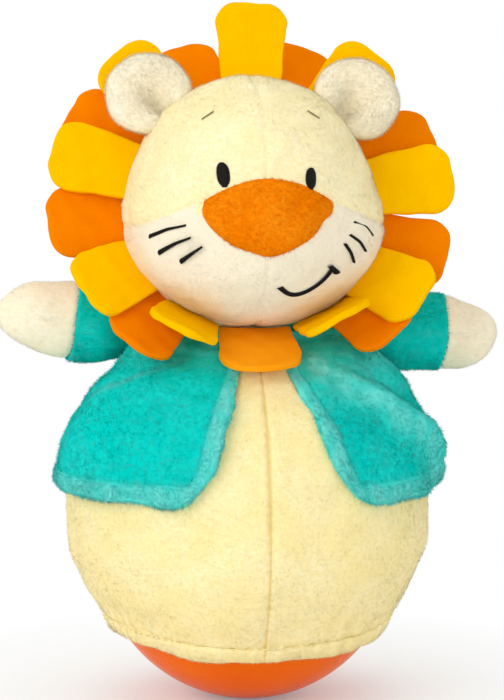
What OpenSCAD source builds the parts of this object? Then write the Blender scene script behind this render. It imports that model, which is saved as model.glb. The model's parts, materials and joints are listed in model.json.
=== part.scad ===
// A roly poly toy: a plush lion sewn round a weighted ball that chimes as it rocks.
// Millimetres, +Z up, with the origin in the middle of the flat that it rests on.
// The lion looks along -Y. Left and right are its own, so its left is +X.

/* [Base] */
// Outer radius of the ball
ball_r = 45; // [44:0.25:46]
// Wall of the ball's bowl and dome
ball_wall = 2.2; // [1.8:0.1:2.6]
// Radius of the flat that the ball rests on
foot_r = 7; // [6:0.5:8]
// Height of the lap joint between bowl and dome
lap_h = 3; // [2:0.5:4]

/* [Ballast] */
// Height of the ballast's top above the floor
ballast_top = 19; // [18:0.5:20]
// Radius of the circle of screws
screw_ring_r = 24; // [23:0.25:25]
// Radius of the bosses that the screws enter
boss_r = 3; // [2.6:0.1:3.4]
// Radius of a screw's shank
screw_r = 1.4; // [1.2:0.1:1.6]
// Length of a screw's shank
screw_len = 7; // [6:0.5:8]
// Height of a screw's head
screw_head_h = 2; // [1.6:0.1:2.4]
// How far a screw's head reaches past its boss
screw_head_lip = 1.4; // [1:0.1:1.8]
// Width of the slot in a screw's head
screw_slot_w = 1; // [0.8:0.1:1.2]

/* [Chime] */
// Radius of the circle of rods
rod_ring_r = 17; // [16.5:0.25:17.5]
// Radius of a rod
rod_r = 1.2; // [1:0.1:1.4]
// Height of the longest rod above the ballast
rod_len = 34; // [32:0.5:36]
// How much shorter each next rod is
rod_step = 3; // [2:0.25:3.5]
// Depth of the rods' sockets in the ballast
rod_socket = 7; // [6:0.5:8]
// Height of the clapper ball's centre above the ballast
clapper_h = 19; // [18:0.5:20]
// Radius of the clapper ball
clapper_r = 6; // [5.6:0.1:6.2]
// Radius of the wire of the staple, the ring and the clapper
wire_r = 0.8; // [0.7:0.05:0.9]
// Middle radius of the ring
ring_r = 3.6; // [3.4:0.1:4]
// Middle radius of the clapper's eye
loop_r = 2.6; // [2.4:0.1:3]
// Distance between the staple's legs
staple_w = 9; // [8:0.5:10]
// Drop of the staple's bar below its boss
staple_drop = 4; // [3.5:0.25:4.5]
// Radius of the dome's boss for the staple
hanger_r = 6.5; // [6.25:0.25:7.5]
// Height of that boss below the dome's crown
hanger_h = 6; // [5:0.5:7]

/* [Fabric] */
// Thickness of the cream plush
plush_t = 1.7; // [1.5:0.1:1.9]
// Thickness of the jacket's fleece
fleece_t = 2.4; // [2:0.1:2.6]
// Thickness of the mane's felt
felt_t = 2; // [1.6:0.1:2.2]
// Thickness of the wadding behind the plush
wadding_t = 2.5; // [2:0.1:3]
// How far the embroidery stands up
thread_t = 0.6; // [0.4:0.1:0.8]

/* [Body] */
// How far the belly stands out past the ball
belly_puff = 9.6; // [9:0.1:10.2]
// Height of the belly's widest place above the ball's middle
belly_rise = 9.55; // [8.5:0.25:10.5]
// Depth of the body's lower seam below the ball's middle
hem_drop = 21.95; // [21.5:0.25:22.5]
// Depth of the turned hem below that seam
hem_h = 4.5; // [4:0.25:5]
// Thickness of the turned hem
hem_t = 1.7; // [1.6:0.1:2]
// Radius of the elastic in the hem
elastic_r = 0.5; // [0.4:0.05:0.6]
// Height of the body's upper edge above the ball
body_rise = 18.55; // [18:0.25:19]
// Radius of the body's upper edge
neck_r = 17; // [16.5:0.25:17.5]
// Height where the wadding starts above the body's lower seam
wadding_rise = 8.5; // [7.5:0.5:10.5]

/* [Neck] */
// Radius of the neck plug
plug_r = 10; // [9.5:0.25:10.5]
// Height of the neck plug's centre above the body's upper edge
plug_rise = 2.5; // [2:0.25:3]

/* [Jacket] */
// Length of the jacket from its upper edge to its hem
jacket_h = 40.5; // [38.5:0.5:41.5]
// Depth of the jacket's upper edge below the body's
jacket_drop = 1.5; // [1.25:0.25:2]
// Dip of the neckline at the front
neckline_dip = 2; // [1.5:0.25:2.5]
// Half angle of the opening at the jacket's upper edge
open_top = 11; // [10:0.5:13]
// Half angle of the opening at the hem
open_hem = 18; // [16:0.5:20]
// Angle of the side seams, from the front
side_angle = 98; // [96:0.5:100]
// Radius of the front panels' lower corners
corner_r = 13; // [11:0.5:15]
// Further angle of the opening at the left front panel
open_left_angle = 4.5; // [3:0.5:6]
// Height of the loose swell in the left front panel
fold_left = 5.5; // [4.5:0.5:6.5]
// Height of the ridge that crosses the left front panel
ridge_left = 2.4; // [1.8:0.2:3]
// Height of the loose swell in the right front panel
swell_right = 8; // [7:0.5:9]
// Depth of the crease in the right front panel
crease_right = 1.2; // [0.8:0.2:1.6]
// Height of the swell that both front panels have below the shoulder
shoulder_swell = 5; // [4:0.5:5.5]
// Height of the flare along the hem
hem_flare = 2; // [1:0.2:3]

/* [Arms] */
// Depth of the shoulder seam's middle below the body's upper edge
shoulder_drop = 4.5; // [4.25:0.25:5]
// Angle of the shoulders behind the body's side
shoulder_back = 8; // [6:0.5:10]
// Radius of an arm's rounded root
arm_root_r = 8.5; // [8.25:0.25:8.75]
// Radius of an arm
arm_r = 11.6; // [11:0.2:12]
// Length of an arm from its pivot
arm_len = 43; // [42:0.5:44]
// Length over which an arm swells
arm_swell = 12; // [11:0.5:13]
// Length of the right sleeve from its pivot
sleeve_right_len = 18; // [17:0.5:19]
// Length of the left sleeve from its pivot
sleeve_left_len = 25; // [24:0.5:26]
// Rise of the right arm at rest
rise_right = 9; // [8:0.5:10]
// Rise of the left arm at rest
rise_left = -5; // [-6:0.5:-4]
// Rise of an arm when it hangs lowest
arm_lowest = -12; // [-13:0.5:-11]
// Radius of the opening through which an arm is stuffed
fill_r = 3; // [2.5:0.1:3.5]

/* [Head] */
// Radius of the head seen from the front
head_r = 38.8; // [38.4:0.1:39.2]
// Length of the head in front of its middle
head_front = 43; // [42.5:0.25:43.5]
// Length of the head behind its middle
head_back_l = 34; // [33:0.25:35]
// How far the head's middle lies in front of the body's axis
head_fore = 6; // [5.5:0.25:6.5]
// Height of the head's middle above the body's upper edge
head_rise = 42; // [42:0.25:43]

/* [Face] */
// Width of the nose
nose_w = 40; // [38:0.5:42]
// Height of the nose's top above the head's middle
nose_top = 10.5; // [9.5:0.25:10.75]
// Height of the nose's corners above the head's middle
nose_corner = 3; // [2:0.25:4]
// Depth of the nose's tip below the head's middle
nose_tip = 12.5; // [11.5:0.25:13.5]
// How far the nose's lower edges bow out
nose_bow = 3.2; // [2.6:0.1:3.8]
// How far the nose stands out of the face
nose_puff = 1.2; // [0.8:0.1:1.6]
// Half distance of the face seam's ends
seam_end_x = 36; // [35:0.25:37]
// Depth of the face seam's ends below the head's middle
seam_end_drop = 5; // [4:0.25:6]
// Distance of an eye from the face's middle
eye_x = 13.4; // [13:0.1:14]
// Height of the eyes above the head's middle
eye_up = 11.4; // [11.2:0.1:12]
// Width of an eye
eye_w = 4; // [3.6:0.1:4.4]
// Height of an eye
eye_h = 6.6; // [6:0.1:6.8]
// Lean of an eye
eye_lean = 8; // [4:1:12]
// Distance of a brow from the face's middle
brow_x = 16; // [15:0.25:17]
// Height of the brows above the head's middle
brow_up = 28; // [27:0.25:29]
// Length of a brow
brow_len = 5; // [4:0.25:6]
// Width of a brow's stitches
brow_w = 1; // [0.8:0.1:1.2]
// Distance of a whisker's middle from the face's middle
whisker_x = 27; // [26.5:0.25:27.5]
// Depth of the middle whisker below the head's middle
whisker_drop = 8.5; // [8:0.25:9]
// Distance between whiskers
whisker_step = 4.2; // [3.8:0.1:4.6]
// How much nearer to the face's middle each lower whisker is
whisker_shift = 2.4; // [2:0.1:2.8]
// Length of the longest whisker
whisker_len = 10.8; // [10:0.25:11.25]
// How much shorter each lower whisker is
whisker_less = 1.4; // [1:0.1:1.8]
// Width of a whisker
whisker_w = 1.1; // [0.9:0.1:1.3]
// Slope of the upper whisker
whisker_slope = 14; // [10:1:18]
// Added slope of each lower whisker
whisker_fan = 12; // [8:1:16]
// Radius of the mouth's curve
mouth_r = 11; // [10.5:0.25:11.5]
// Distance of the mouth's middle from the face's middle
mouth_x = 11.5; // [11:0.25:12]
// Depth of the mouth's lowest point below the head's middle
mouth_drop = 24.5; // [24:0.25:25]
// Width of the mouth's stitches
mouth_w = 1.2; // [1:0.1:1.4]
// Angle of the mouth's curve towards the face's middle
mouth_in = 42; // [38:1:46]
// Angle of the mouth's curve towards the cheek
mouth_out = 62; // [58:1:66]

/* [Ears] */
// Radius of an ear
ear_r = 13; // [12.5:0.25:13.5]
// Half thickness of an ear before it is cupped
ear_half_t = 4.6; // [4.2:0.1:5]
// Depth of the cup
ear_cup = 5; // [4.6:0.1:5.4]
// Distance of an ear's middle from the head's middle
ear_reach = 44; // [43.5:0.25:45]
// Angle of an ear above the head's side
ear_angle = 48; // [46:0.5:50]
// Distance of an ear's middle in front of the mane's plane
ear_fore = 9; // [8.75:0.25:10]

/* [Mane] */
// Length of a petal beyond the head
petal_len = 21.5; // [21:0.25:22]
// Width of a petal
petal_w = 21.5; // [20.5:0.25:22]
// Width of a petal's root
petal_root_w = 17; // [16:0.25:18]
// Radius of a petal's corners
petal_corner_r = 7; // [6:0.25:8]
// Lean of the mane's plane, the chin forwards
mane_lean = 22; // [21:0.25:23]
// How far the lion's left ear and petals have sagged round the face
sag_angle = 4; // [2:0.5:5]
// Distance between the yellow row and the orange row
row_step = 4; // [3.8:0.1:4.2]
// Forward tilt of the lowest yellow petals
yellow_tilt_angle = 62; // [60:0.5:64]
// Forward tilt of the lowest orange petal
orange_tilt_angle = 43; // [42:0.5:45]
// Backward tilt of the orange petals beside the top
back_tilt_angle = 45; // [40:0.5:50]
// Distance of the petals' roots from the head
mane_gap = 0.5; // [0.45:0.05:0.6]

/* [Fits] */
// Gap of soft pieces and of curved seats
seat_gap = 0.3; // [0.25:0.01:0.35]
// Gap of pieces that are pressed or sewn together
sewn_gap = 0.05; // [0.03:0.01:0.08]
// Gap in the lap joint
lap_gap = 0.15; // [0.1:0.01:0.2]
// Gap between the links of the clapper
link_gap = 0.08; // [0.05:0.01:0.1]
// Overrun of every cut
overrun = 1; // [0.8:0.1:1.2]

/* [Hidden] */
$fn = 64;
petals = 18;
rods = 4;
screws = 3;
body_steps = 18;
oval_steps = 36;
arc_steps = 6;
flap_cols = 22;
flap_rows = 18;
// Powers that shape the body's shoulders and the petals' tilt towards the chin and the top
round_power = 2.5;
taper_power = 0.7;
chin_power = 3;
top_power = 6;
// The folds' places and widths, as angles from the front and as shares of the jacket's height
fold_angle = 66;
fold_spread = 34;
fold_share = 0.46;
fold_share_spread = 0.56;
valley_angle = 84;
valley_spread = 12;
valley_share = 0.4;
flare_share = 0.3;
flare_left_share = 0.3;
middle_share = 0.5;
shoulder_share = 0.82;
shoulder_share_spread = 0.26;
// The ridge with the groove beyond it and the hollow before it, and the crease: lines that turn
// from the hem towards the collar
ridge_hem_angle = 80;
ridge_turn_angle = 50;
ridge_power = 1.3;
ridge_spread_angle = 4.5;
groove_off_angle = 9;
groove_spread_angle = 5;
hollow_off_angle = 16;
hollow_spread_angle = 9;
hollow_share = 0.6;
crease_hem_angle = 100;
crease_turn_angle = 62;
crease_power = 2;
crease_spread_angle = 4;
open_left_share = 0.25;
sag_middle_angle = 10;
sag_spread_angle = 70;
first_screw_angle = 45;

ball_z = sqrt(pow(ball_r, 2) - pow(foot_r, 2));
inner_r = ball_r - ball_wall;
mid_r = ball_r - ball_wall / 2;
belly_r = ball_r + belly_puff;
belly_z = ball_z + belly_rise;
hem_z = ball_z - hem_drop;
hem_r = ball_cut_r(hem_z) + seat_gap + plush_t;
body_top_z = ball_z + ball_r + body_rise;
wadding_z = hem_z + wadding_rise;
plug_z = body_top_z + plug_rise;
jacket_top_z = body_top_z - jacket_drop;
jacket_hem_z = jacket_top_z - jacket_h;
shoulder_z = body_top_z - shoulder_drop;
head_z = body_top_z + head_rise;
head_y = -head_fore;
hanger_z = ball_z + inner_r - hanger_h;
bar_z = hanger_z - staple_drop;
link_step = 2 * wire_r + link_gap;
ring_z = bar_z + link_step - ring_r;
link_z = ring_z - ring_r;
loop_z = link_z + link_step - loop_r;
clapper_z = ballast_top + clapper_h;
boss_top = ballast_top - seat_gap;
shoulder_slope = (body_r(shoulder_z + sewn_gap) - body_r(shoulder_z - sewn_gap)) / (2 * sewn_gap);
shoulder_norm = sqrt(1 + pow(shoulder_slope, 2));
root_stand = arm_root_r + seat_gap;
pivot_r = body_r(shoulder_z) + root_stand / shoulder_norm;
pivot_z = shoulder_z - root_stand * shoulder_slope / shoulder_norm;
pivot_x = pivot_r * cos(shoulder_back);
pivot_y = pivot_r * sin(shoulder_back);

cream = [0.99, 0.93, 0.74];
ear_cream = [0.98, 0.91, 0.76];
yellow = [1, 0.77, 0.02];
orange = [0.95, 0.45, 0.02];
turquoise = [0.01, 0.78, 0.73];
ball_orange = [0.92, 0.42, 0.04];
iron = [0.3, 0.3, 0.32];
steel = [0.75, 0.76, 0.78];
brass = [0.8, 0.65, 0.3];
white = [0.95, 0.94, 0.9];
thread = [0.28, 0.2, 0.14];

// Radius of the ball at a height
function ball_cut_r(z) = sqrt(pow(ball_r, 2) - pow(ball_z - z, 2));

// Outer radius of the plush body at a height: it swells from the hem to the belly and tapers
// to the neck
function body_r(z) =
    z > belly_z
    ? neck_r + (belly_r - neck_r)
        * pow(max(0, 1 - pow((z - belly_z) / (body_top_z - belly_z), round_power)), taper_power)
    : hem_r + (belly_r - hem_r) * cos(90 * (belly_z - z) / (belly_z - hem_z));

// The body's outline from one height to another, moved in by an inset
function body_line(from, to, inset) = [
    for (i = [0 : body_steps])
        let (z = from + (to - from) * i / body_steps)
        [body_r(z) - inset, z]
];

// Half of the head's side view: an oval whose front is longer than its back
function head_line(inset) = [
    for (i = [0 : oval_steps])
        let (
            a = 180 * i / oval_steps,
            reach = a < 90 ? head_front : head_back_l
        )
        [(head_r - inset) * sin(a), (reach - inset) * cos(a)]
];

// Half of an arm's outline: a round root, a swelling sleeve and a mitten hand
function arm_line(wrist, inset) = concat(
    [
        for (i = [0 : arc_steps - 1])
            let (a = 90 * i / arc_steps)
            [(arm_root_r - inset) * sin(a), -(arm_root_r - inset) * cos(a)]
    ],
    [
        for (i = [0 : arc_steps])
            let (s = i / arc_steps)
            [
                arm_root_r - inset + (arm_r - arm_root_r) * (1 - cos(180 * s)) / 2,
                arm_swell * s
            ]
    ],
    [
        for (i = [0 : 2 * arc_steps])
            let (a = 45 * i / arc_steps)
            [(arm_r - inset) * cos(a), wrist + (arm_len - wrist - inset) * sin(a)]
    ]
);

// A smooth hump of height 1 that reaches zero at the spread on both sides
function hump(x, spread) = abs(x) < spread ? (1 + cos(180 * x / spread)) / 2 : 0;

// A rise of height 1 along a line, falling off on both sides
function along_line(off, spread) = exp(-pow(off / spread, 2));

// How far a front panel stands off at an angle from the front and a share of the height above
// the hem: both swell over the side, the left one with a ridge and the right one with a crease
function fold_at(left, angle, share) =
    let (
        broad = hump(angle - fold_angle, fold_spread),
        rise = hump(share - fold_share, fold_share_spread),
        middle = sqrt(hump(share - middle_share, fold_share_spread)),
        flare = hem_flare * hump(share, flare_share) * broad,
        shoulder = shoulder_swell * hump(share - shoulder_share, shoulder_share_spread) * broad,
        ridge_off = angle - ridge_hem_angle + ridge_turn_angle * pow(share, ridge_power),
        ridge = along_line(ridge_off, ridge_spread_angle)
            - along_line(ridge_off - groove_off_angle, groove_spread_angle)
            - hollow_share * along_line(ridge_off + hollow_off_angle, hollow_spread_angle),
        valley = valley_share * hump(angle - valley_angle, valley_spread),
        crease_off = angle - crease_hem_angle + crease_turn_angle * pow(share, crease_power),
        crease = along_line(crease_off, crease_spread_angle)
    )
    shoulder + max(
        0,
        left
        ? flare_left_share * flare + fold_left * rise * (broad - valley) + ridge_left * middle * ridge
        : flare + swell_right * rise * broad - crease_right * middle * crease
    );

// The angle where a front panel starts: the opening widens to the hem, and the corner is round
function open_at(left, share) =
    open_top + (open_hem - open_top) * (1 - share)
    + (left ? open_left_angle * (open_left_share + (1 - open_left_share) * sqrt(1 - share)) : 0)
    + (
        share * jacket_h < corner_r
        ? (corner_r - sqrt(pow(corner_r, 2) - pow(corner_r - share * jacket_h, 2)))
            / body_r(jacket_hem_z) * 180 / PI
        : 0
    );

// A point of a front panel, on its inner face (depth 0) or outer face (depth 1)
function flap_point(left, col, row, depth) =
    let (
        share = row / flap_rows,
        start = open_at(left, share),
        angle = start + (side_angle - start) * col / flap_cols,
        z = jacket_hem_z + (jacket_h - neckline_dip * hump(angle, side_angle)) * share,
        r = body_r(z) + seat_gap + depth * fleece_t + fold_at(left, angle, share)
    )
    [(left ? 1 : -1) * r * sin(angle), -r * cos(angle), z];

// Radius of the arc over a chord
function arc_r(half_chord, rise) = (pow(half_chord, 2) + pow(rise, 2)) / (2 * rise);

// Forward tilt of a petal at an angle round the face
function petal_tilt(angle, chin, top) =
    chin * pow((1 - sin(angle)) / 2, chin_power) - top * pow((1 + sin(angle)) / 2, top_power);

// Distance of the petals' roots from the head's middle at an angle round the face
function mane_r(angle) =
    let (reach = sin(angle) > 0 ? head_back_l : head_front)
    mane_gap + 1 / sqrt(
        (pow(cos(angle), 2) + pow(sin(angle) * cos(mane_lean), 2)) / pow(head_r, 2)
        + pow(sin(angle) * sin(mane_lean) / reach, 2)
    );

// A petal's outline: a hollow root on the head's seam and a broad end with round corners
function petal_outline(r) = concat(
    [
        for (i = [0 : arc_steps])
            let (x = petal_root_w * (i / arc_steps - 1 / 2))
            [x, sqrt(pow(r, 2) - pow(x, 2))]
    ],
    [
        for (i = [0 : arc_steps])
            let (a = 90 * i / arc_steps)
            [
                petal_w / 2 - petal_corner_r + petal_corner_r * cos(a),
                r + petal_len - petal_corner_r + petal_corner_r * sin(a)
            ]
    ],
    [
        for (i = [0 : arc_steps])
            let (a = 90 + 90 * i / arc_steps)
            [
                petal_corner_r - petal_w / 2 + petal_corner_r * cos(a),
                r + petal_len - petal_corner_r + petal_corner_r * sin(a)
            ]
    ]
);

// A petal's name, with two digits
function petal_name(i) = str("petal_", i < 10 ? "0" : "", i);

// Half of an ear's section: a domed back and a cupped front
function ear_line() = concat(
    [
        for (i = [0 : arc_steps * 2])
            let (a = 45 * i / arc_steps)
            [ear_r * sin(a), -ear_half_t * cos(a)]
    ],
    [
        for (i = [1 : arc_steps * 2])
            let (a = 90 + 45 * i / arc_steps)
            [ear_r * sin(a), -ear_half_t * cos(a) - ear_cup * pow(cos(a), 2)]
    ]
);

// A half disc in the profile plane, in the ball's place
module ball_half(r) {
    translate([0, ball_z])
        intersection() {
            circle(r);
            translate([0, -r - overrun])
                square([r + overrun, 2 * (r + overrun)]);
        }
}

module at_ball() {
    translate([0, 0, ball_z])
        children();
}

module base_bowl() {
    color(ball_orange)
        difference() {
            union() {
                rotate_extrude() {
                    difference() {
                        intersection() {
                            ball_half(ball_r);
                            square([ball_r + overrun, ball_z]);
                        }
                        ball_half(inner_r);
                    }
                    translate([inner_r, ball_z - lap_h])
                        square([(ball_wall - lap_gap) / 2, 2 * lap_h]);
                }
                intersection() {
                    screw_places()
                        cylinder(r = boss_r, h = boss_top);
                    at_ball()
                        sphere(mid_r);
                }
            }
            screw_places()
                translate([0, 0, ballast_top - screw_len - overrun])
                    cylinder(r = screw_r + sewn_gap, h = screw_len + 2 * overrun);
        }
}

module base_dome() {
    color(ball_orange)
        difference() {
            union() {
                rotate_extrude()
                    difference() {
                        intersection() {
                            ball_half(ball_r);
                            translate([0, ball_z])
                                square([ball_r + overrun, ball_r + overrun]);
                        }
                        ball_half(inner_r);
                        translate([0, ball_z - overrun])
                            square([mid_r + lap_gap / 2, lap_h + lap_gap + overrun]);
                    }
                intersection() {
                    translate([0, 0, hanger_z])
                        cylinder(r = hanger_r, h = hanger_h + ball_wall);
                    at_ball()
                        sphere(mid_r);
                }
            }
            staple_legs(wire_r + sewn_gap);
        }
}

module screw_places() {
    for (i = [0 : screws - 1])
        rotate([0, 0, first_screw_angle + 360 * i / screws])
            translate([screw_ring_r, 0, 0])
                children();
}

module rod_place(i) {
    rotate([0, 0, 360 * i / rods])
        translate([rod_ring_r, 0, ballast_top - rod_socket])
            children();
}

module ballast() {
    color(iron)
        difference() {
            intersection() {
                at_ball()
                    sphere(inner_r - seat_gap);
                cylinder(r = ball_r, h = ballast_top);
            }
            screw_places()
                cylinder(r = boss_r + seat_gap, h = ballast_top + overrun);
            for (i = [0 : rods - 1])
                rod_place(i)
                    cylinder(r = rod_r + sewn_gap, h = rod_socket + overrun);
        }
}

module ballast_screws() {
    color(steel)
        screw_places()
            translate([0, 0, ballast_top - screw_len])
                difference() {
                    union() {
                        cylinder(r = screw_r, h = screw_len + screw_head_h / 2);
                        translate([0, 0, screw_len])
                            cylinder(r = boss_r + screw_head_lip, h = screw_head_h);
                    }
                    for (turn = [0, 90])
                        rotate([0, 0, turn])
                            translate([-boss_r, -screw_slot_w / 2, screw_len + screw_head_h / 2])
                                cube([2 * boss_r, screw_slot_w, screw_head_h]);
                }
}

module chime_rod(i) {
    color(steel)
        rod_place(i)
            cylinder(r = rod_r, h = rod_socket + rod_len - i * rod_step);
}

module chime_rod_1() {
    chime_rod(0);
}

module chime_rod_2() {
    chime_rod(1);
}

module chime_rod_3() {
    chime_rod(2);
}

module chime_rod_4() {
    chime_rod(3);
}

module staple_legs(r) {
    for (side = [-1, 1])
        translate([0, side * staple_w / 2, bar_z])
            cylinder(r = r, h = staple_drop + hanger_h - overrun);
}

module staple() {
    color(steel) {
        staple_legs(wire_r);
        translate([0, staple_w / 2, bar_z])
            rotate([90, 0, 0])
                cylinder(r = wire_r, h = staple_w);
        for (side = [-1, 1])
            translate([0, side * staple_w / 2, bar_z])
                sphere(wire_r);
    }
}

module wire_ring(r) {
    rotate_extrude()
        translate([r, 0])
            circle(wire_r);
}

module clapper_ring() {
    color(steel)
        translate([0, 0, ring_z])
            rotate([90, 0, 0])
                wire_ring(ring_r);
}

module clapper_wire() {
    color(steel) {
        translate([0, 0, loop_z])
            rotate([0, 90, 0])
                wire_ring(loop_r);
        translate([0, 0, clapper_z])
            cylinder(r = wire_r, h = loop_z - loop_r - clapper_z);
    }
}

module clapper_ball() {
    color(brass)
        difference() {
            translate([0, 0, clapper_z])
                sphere(clapper_r);
            translate([0, 0, clapper_z - sewn_gap])
                cylinder(r = wire_r + sewn_gap, h = clapper_r + overrun);
        }
}

module body_gore(start) {
    color(cream)
        rotate([0, 0, start])
            rotate_extrude(angle = 90)
                polygon(concat(
                    body_line(hem_z, body_top_z, 0),
                    body_line(body_top_z, hem_z, plush_t)
                ));
}

module body_front_left() {
    body_gore(-90);
}

module body_back_left() {
    body_gore(0);
}

module body_back_right() {
    body_gore(90);
}

module body_front_right() {
    body_gore(180);
}

// The lining of fill under the plush, closed at the top round the neck plug's seat
module body_wadding() {
    lid_z = body_top_z - wadding_t;
    depth = plush_t + seat_gap;
    color(white)
        difference() {
            rotate_extrude()
                difference() {
                    polygon(concat(
                        [[0, hem_z]],
                        body_line(hem_z, body_top_z, depth),
                        [[0, body_top_z]]
                    ));
                    translate([0, hem_z - overrun])
                        square([belly_r, wadding_z - hem_z + overrun]);
                    polygon(concat(
                        [
                            [0, wadding_z - overrun],
                            [body_r(wadding_z) - depth - wadding_t, wadding_z - overrun]
                        ],
                        body_line(wadding_z, lid_z, depth + wadding_t),
                        [[0, lid_z]]
                    ));
                    ball_half(ball_r + seat_gap);
                }
            neck_seat();
        }
}

module neck_seat() {
    translate([0, 0, plug_z])
        sphere(plug_r + seat_gap);
}

module neck_plug() {
    color(white)
        translate([0, 0, plug_z])
            sphere(plug_r);
}

module hem_core(r) {
    elastic_z = hem_z - hem_h / 2;
    rotate_extrude()
        translate([ball_cut_r(elastic_z) + seat_gap + hem_t / 2, elastic_z])
            circle(r);
}

module hem_casing() {
    color(cream)
        difference() {
            rotate_extrude()
                intersection() {
                    difference() {
                        ball_half(ball_r + seat_gap + hem_t);
                        ball_half(ball_r + seat_gap);
                    }
                    translate([0, hem_z - hem_h])
                        square([ball_r + hem_t, hem_h]);
                }
            hem_core(elastic_r + sewn_gap);
        }
}

module hem_elastic() {
    color(white)
        hem_core(elastic_r);
}

module jacket_front(left) {
    across = flap_cols + 1;
    layer = across * (flap_rows + 1);
    points = [
        for (depth = [0, 1], row = [0 : flap_rows], col = [0 : flap_cols])
            flap_point(left, col, row, depth)
    ];
    skins = [
        for (row = [0 : flap_rows - 1], col = [0 : flap_cols - 1])
            let (a = row * across + col, b = a + 1, c = b + across, d = a + across)
            each [
                [a, b, c], [a, c, d],
                [layer + a, layer + c, layer + b], [layer + a, layer + d, layer + c]
            ]
    ];
    hems = [
        for (col = [0 : flap_cols - 1], top = [0, 1])
            let (a = top * flap_rows * across + col, b = a + 1)
            each top == 0
                ? [[a, layer + a, layer + b], [a, layer + b, b]]
                : [[a, layer + b, layer + a], [a, b, layer + b]]
    ];
    edges = [
        for (row = [0 : flap_rows - 1], end = [0, 1])
            let (a = row * across + end * flap_cols, b = a + across)
            each end == 0
                ? [[a, layer + b, layer + a], [a, b, layer + b]]
                : [[a, layer + a, layer + b], [a, layer + b, b]]
    ];
    faces = concat(skins, hems, edges);
    color(turquoise)
        difference() {
            polyhedron(points, left ? faces : [for (f = faces) [f[0], f[2], f[1]]]);
            armhole(left ? 1 : -1);
        }
}

module jacket_front_left() {
    jacket_front(true);
}

module jacket_front_right() {
    jacket_front(false);
}

module jacket_back() {
    color(turquoise)
        difference() {
            rotate([0, 0, side_angle - 90])
                rotate_extrude(angle = 360 - 2 * side_angle)
                    polygon(concat(
                        body_line(jacket_hem_z, jacket_top_z, -seat_gap - fleece_t),
                        body_line(jacket_top_z, jacket_hem_z, -seat_gap)
                    ));
            for (side = [-1, 1])
                armhole(side);
        }
}

// The room that an arm takes in the jacket when it hangs lowest
module armhole(side) {
    at_arm(side, arm_lowest)
        rotate_extrude($fn = 40)
            polygon(arm_line(sleeve_left_len, -2 * seat_gap));
}

// An arm's frame: its pivot, with +Z along the arm
module at_arm(side, rise) {
    translate([side * pivot_x, pivot_y, pivot_z])
        rotate([0, side * (90 - rise), 0])
            children();
}

module arm_solid(wrist, inset) {
    rotate_extrude()
        polygon(arm_line(wrist, inset));
}

module arm_skin(wrist) {
    difference() {
        arm_solid(wrist, 0);
        arm_solid(wrist, plush_t);
    }
}

module sleeve(side, rise, wrist) {
    color(turquoise)
        at_arm(side, rise)
            intersection() {
                arm_skin(wrist);
                translate([0, 0, wrist - arm_len])
                    cylinder(r = arm_len, h = arm_len);
            }
}

module hand(side, rise, wrist) {
    color(cream)
        at_arm(side, rise)
            intersection() {
                arm_skin(wrist);
                translate([0, 0, wrist])
                    cylinder(r = arm_len, h = arm_len);
            }
}

module arm_wadding(side, rise, wrist) {
    color(white)
        at_arm(side, rise)
            difference() {
                arm_solid(wrist, plush_t + sewn_gap);
                arm_solid(wrist, plush_t + wadding_t);
                translate([0, 0, -arm_root_r])
                    cylinder(r = fill_r, h = arm_root_r);
            }
}

module sleeve_left() {
    sleeve(1, rise_left, sleeve_left_len);
}

module sleeve_right() {
    sleeve(-1, rise_right, sleeve_right_len);
}

module hand_left() {
    hand(1, rise_left, sleeve_left_len);
}

module hand_right() {
    hand(-1, rise_right, sleeve_right_len);
}

module arm_wadding_left() {
    arm_wadding(1, rise_left, sleeve_left_len);
}

module arm_wadding_right() {
    arm_wadding(-1, rise_right, sleeve_right_len);
}

module at_head() {
    translate([0, head_y, head_z])
        children();
}

module head_solid(inset) {
    at_head()
        rotate([90, 0, 0])
            rotate_extrude()
                polygon(head_line(inset));
}

module head_skin(puff) {
    difference() {
        head_solid(-puff);
        head_solid(plush_t);
        neck_seat();
    }
}

// The mane's frame: x across the face, y up in the mane's plane, z forwards
module at_mane() {
    at_head()
        rotate([90 - mane_lean, 0, 0])
            children();
}

module behind_mane() {
    far = 2 * head_front;
    at_mane()
        translate([-far, -far, -far])
            cube([2 * far, 2 * far, far]);
}

// A shape of the face, drawn from the front, carried through the head's front half
module through_face() {
    at_head()
        rotate([90, 0, 0])
            linear_extrude(height = head_front + overrun)
                children();
}

// The nose's outline: a low arc on top and two bowed edges that meet in the tip
module nose_shape() {
    half = nose_w / 2;
    top_r = arc_r(half, nose_top - nose_corner);
    intersection() {
        translate([0, nose_top - top_r])
            circle(top_r);
        nose_cheek(-1);
        nose_cheek(1);
    }
}

module nose_cheek(side) {
    half = nose_w / 2;
    drop = nose_corner + nose_tip;
    chord = sqrt(pow(half, 2) + pow(drop, 2));
    cheek_r = arc_r(chord / 2, nose_bow);
    back = cheek_r - nose_bow;
    translate([
        side * (half / 2 - back * drop / chord),
        (nose_corner - nose_tip) / 2 + back * half / chord
    ])
        circle(cheek_r);
}

// The head's side of the seam that runs from the nose's corners to the mane, drawn from the
// front: above it (1) or below it (-1)
module seam_side(up) {
    far = head_r + overrun;
    half = nose_w / 2;
    slope = (nose_corner + seam_end_drop) / (seam_end_x - half);
    far_y = nose_corner - slope * (far - half);
    at_head()
        rotate([90, 0, 0])
            translate([0, 0, -head_back_l])
                linear_extrude(height = head_back_l + head_front + overrun)
                    polygon([
                        [-far, far_y], [-half, nose_corner], [half, nose_corner],
                        [far, far_y], [far, up * far], [-far, up * far]
                    ]);
}

module face_panel(up) {
    color(cream)
        difference() {
            intersection() {
                head_skin(0);
                seam_side(up);
            }
            through_face()
                nose_shape();
            behind_mane();
        }
}

module head_crown() {
    face_panel(1);
}

module head_muzzle() {
    face_panel(-1);
}

module head_back() {
    color(cream)
        intersection() {
            head_skin(0);
            behind_mane();
        }
}

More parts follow.
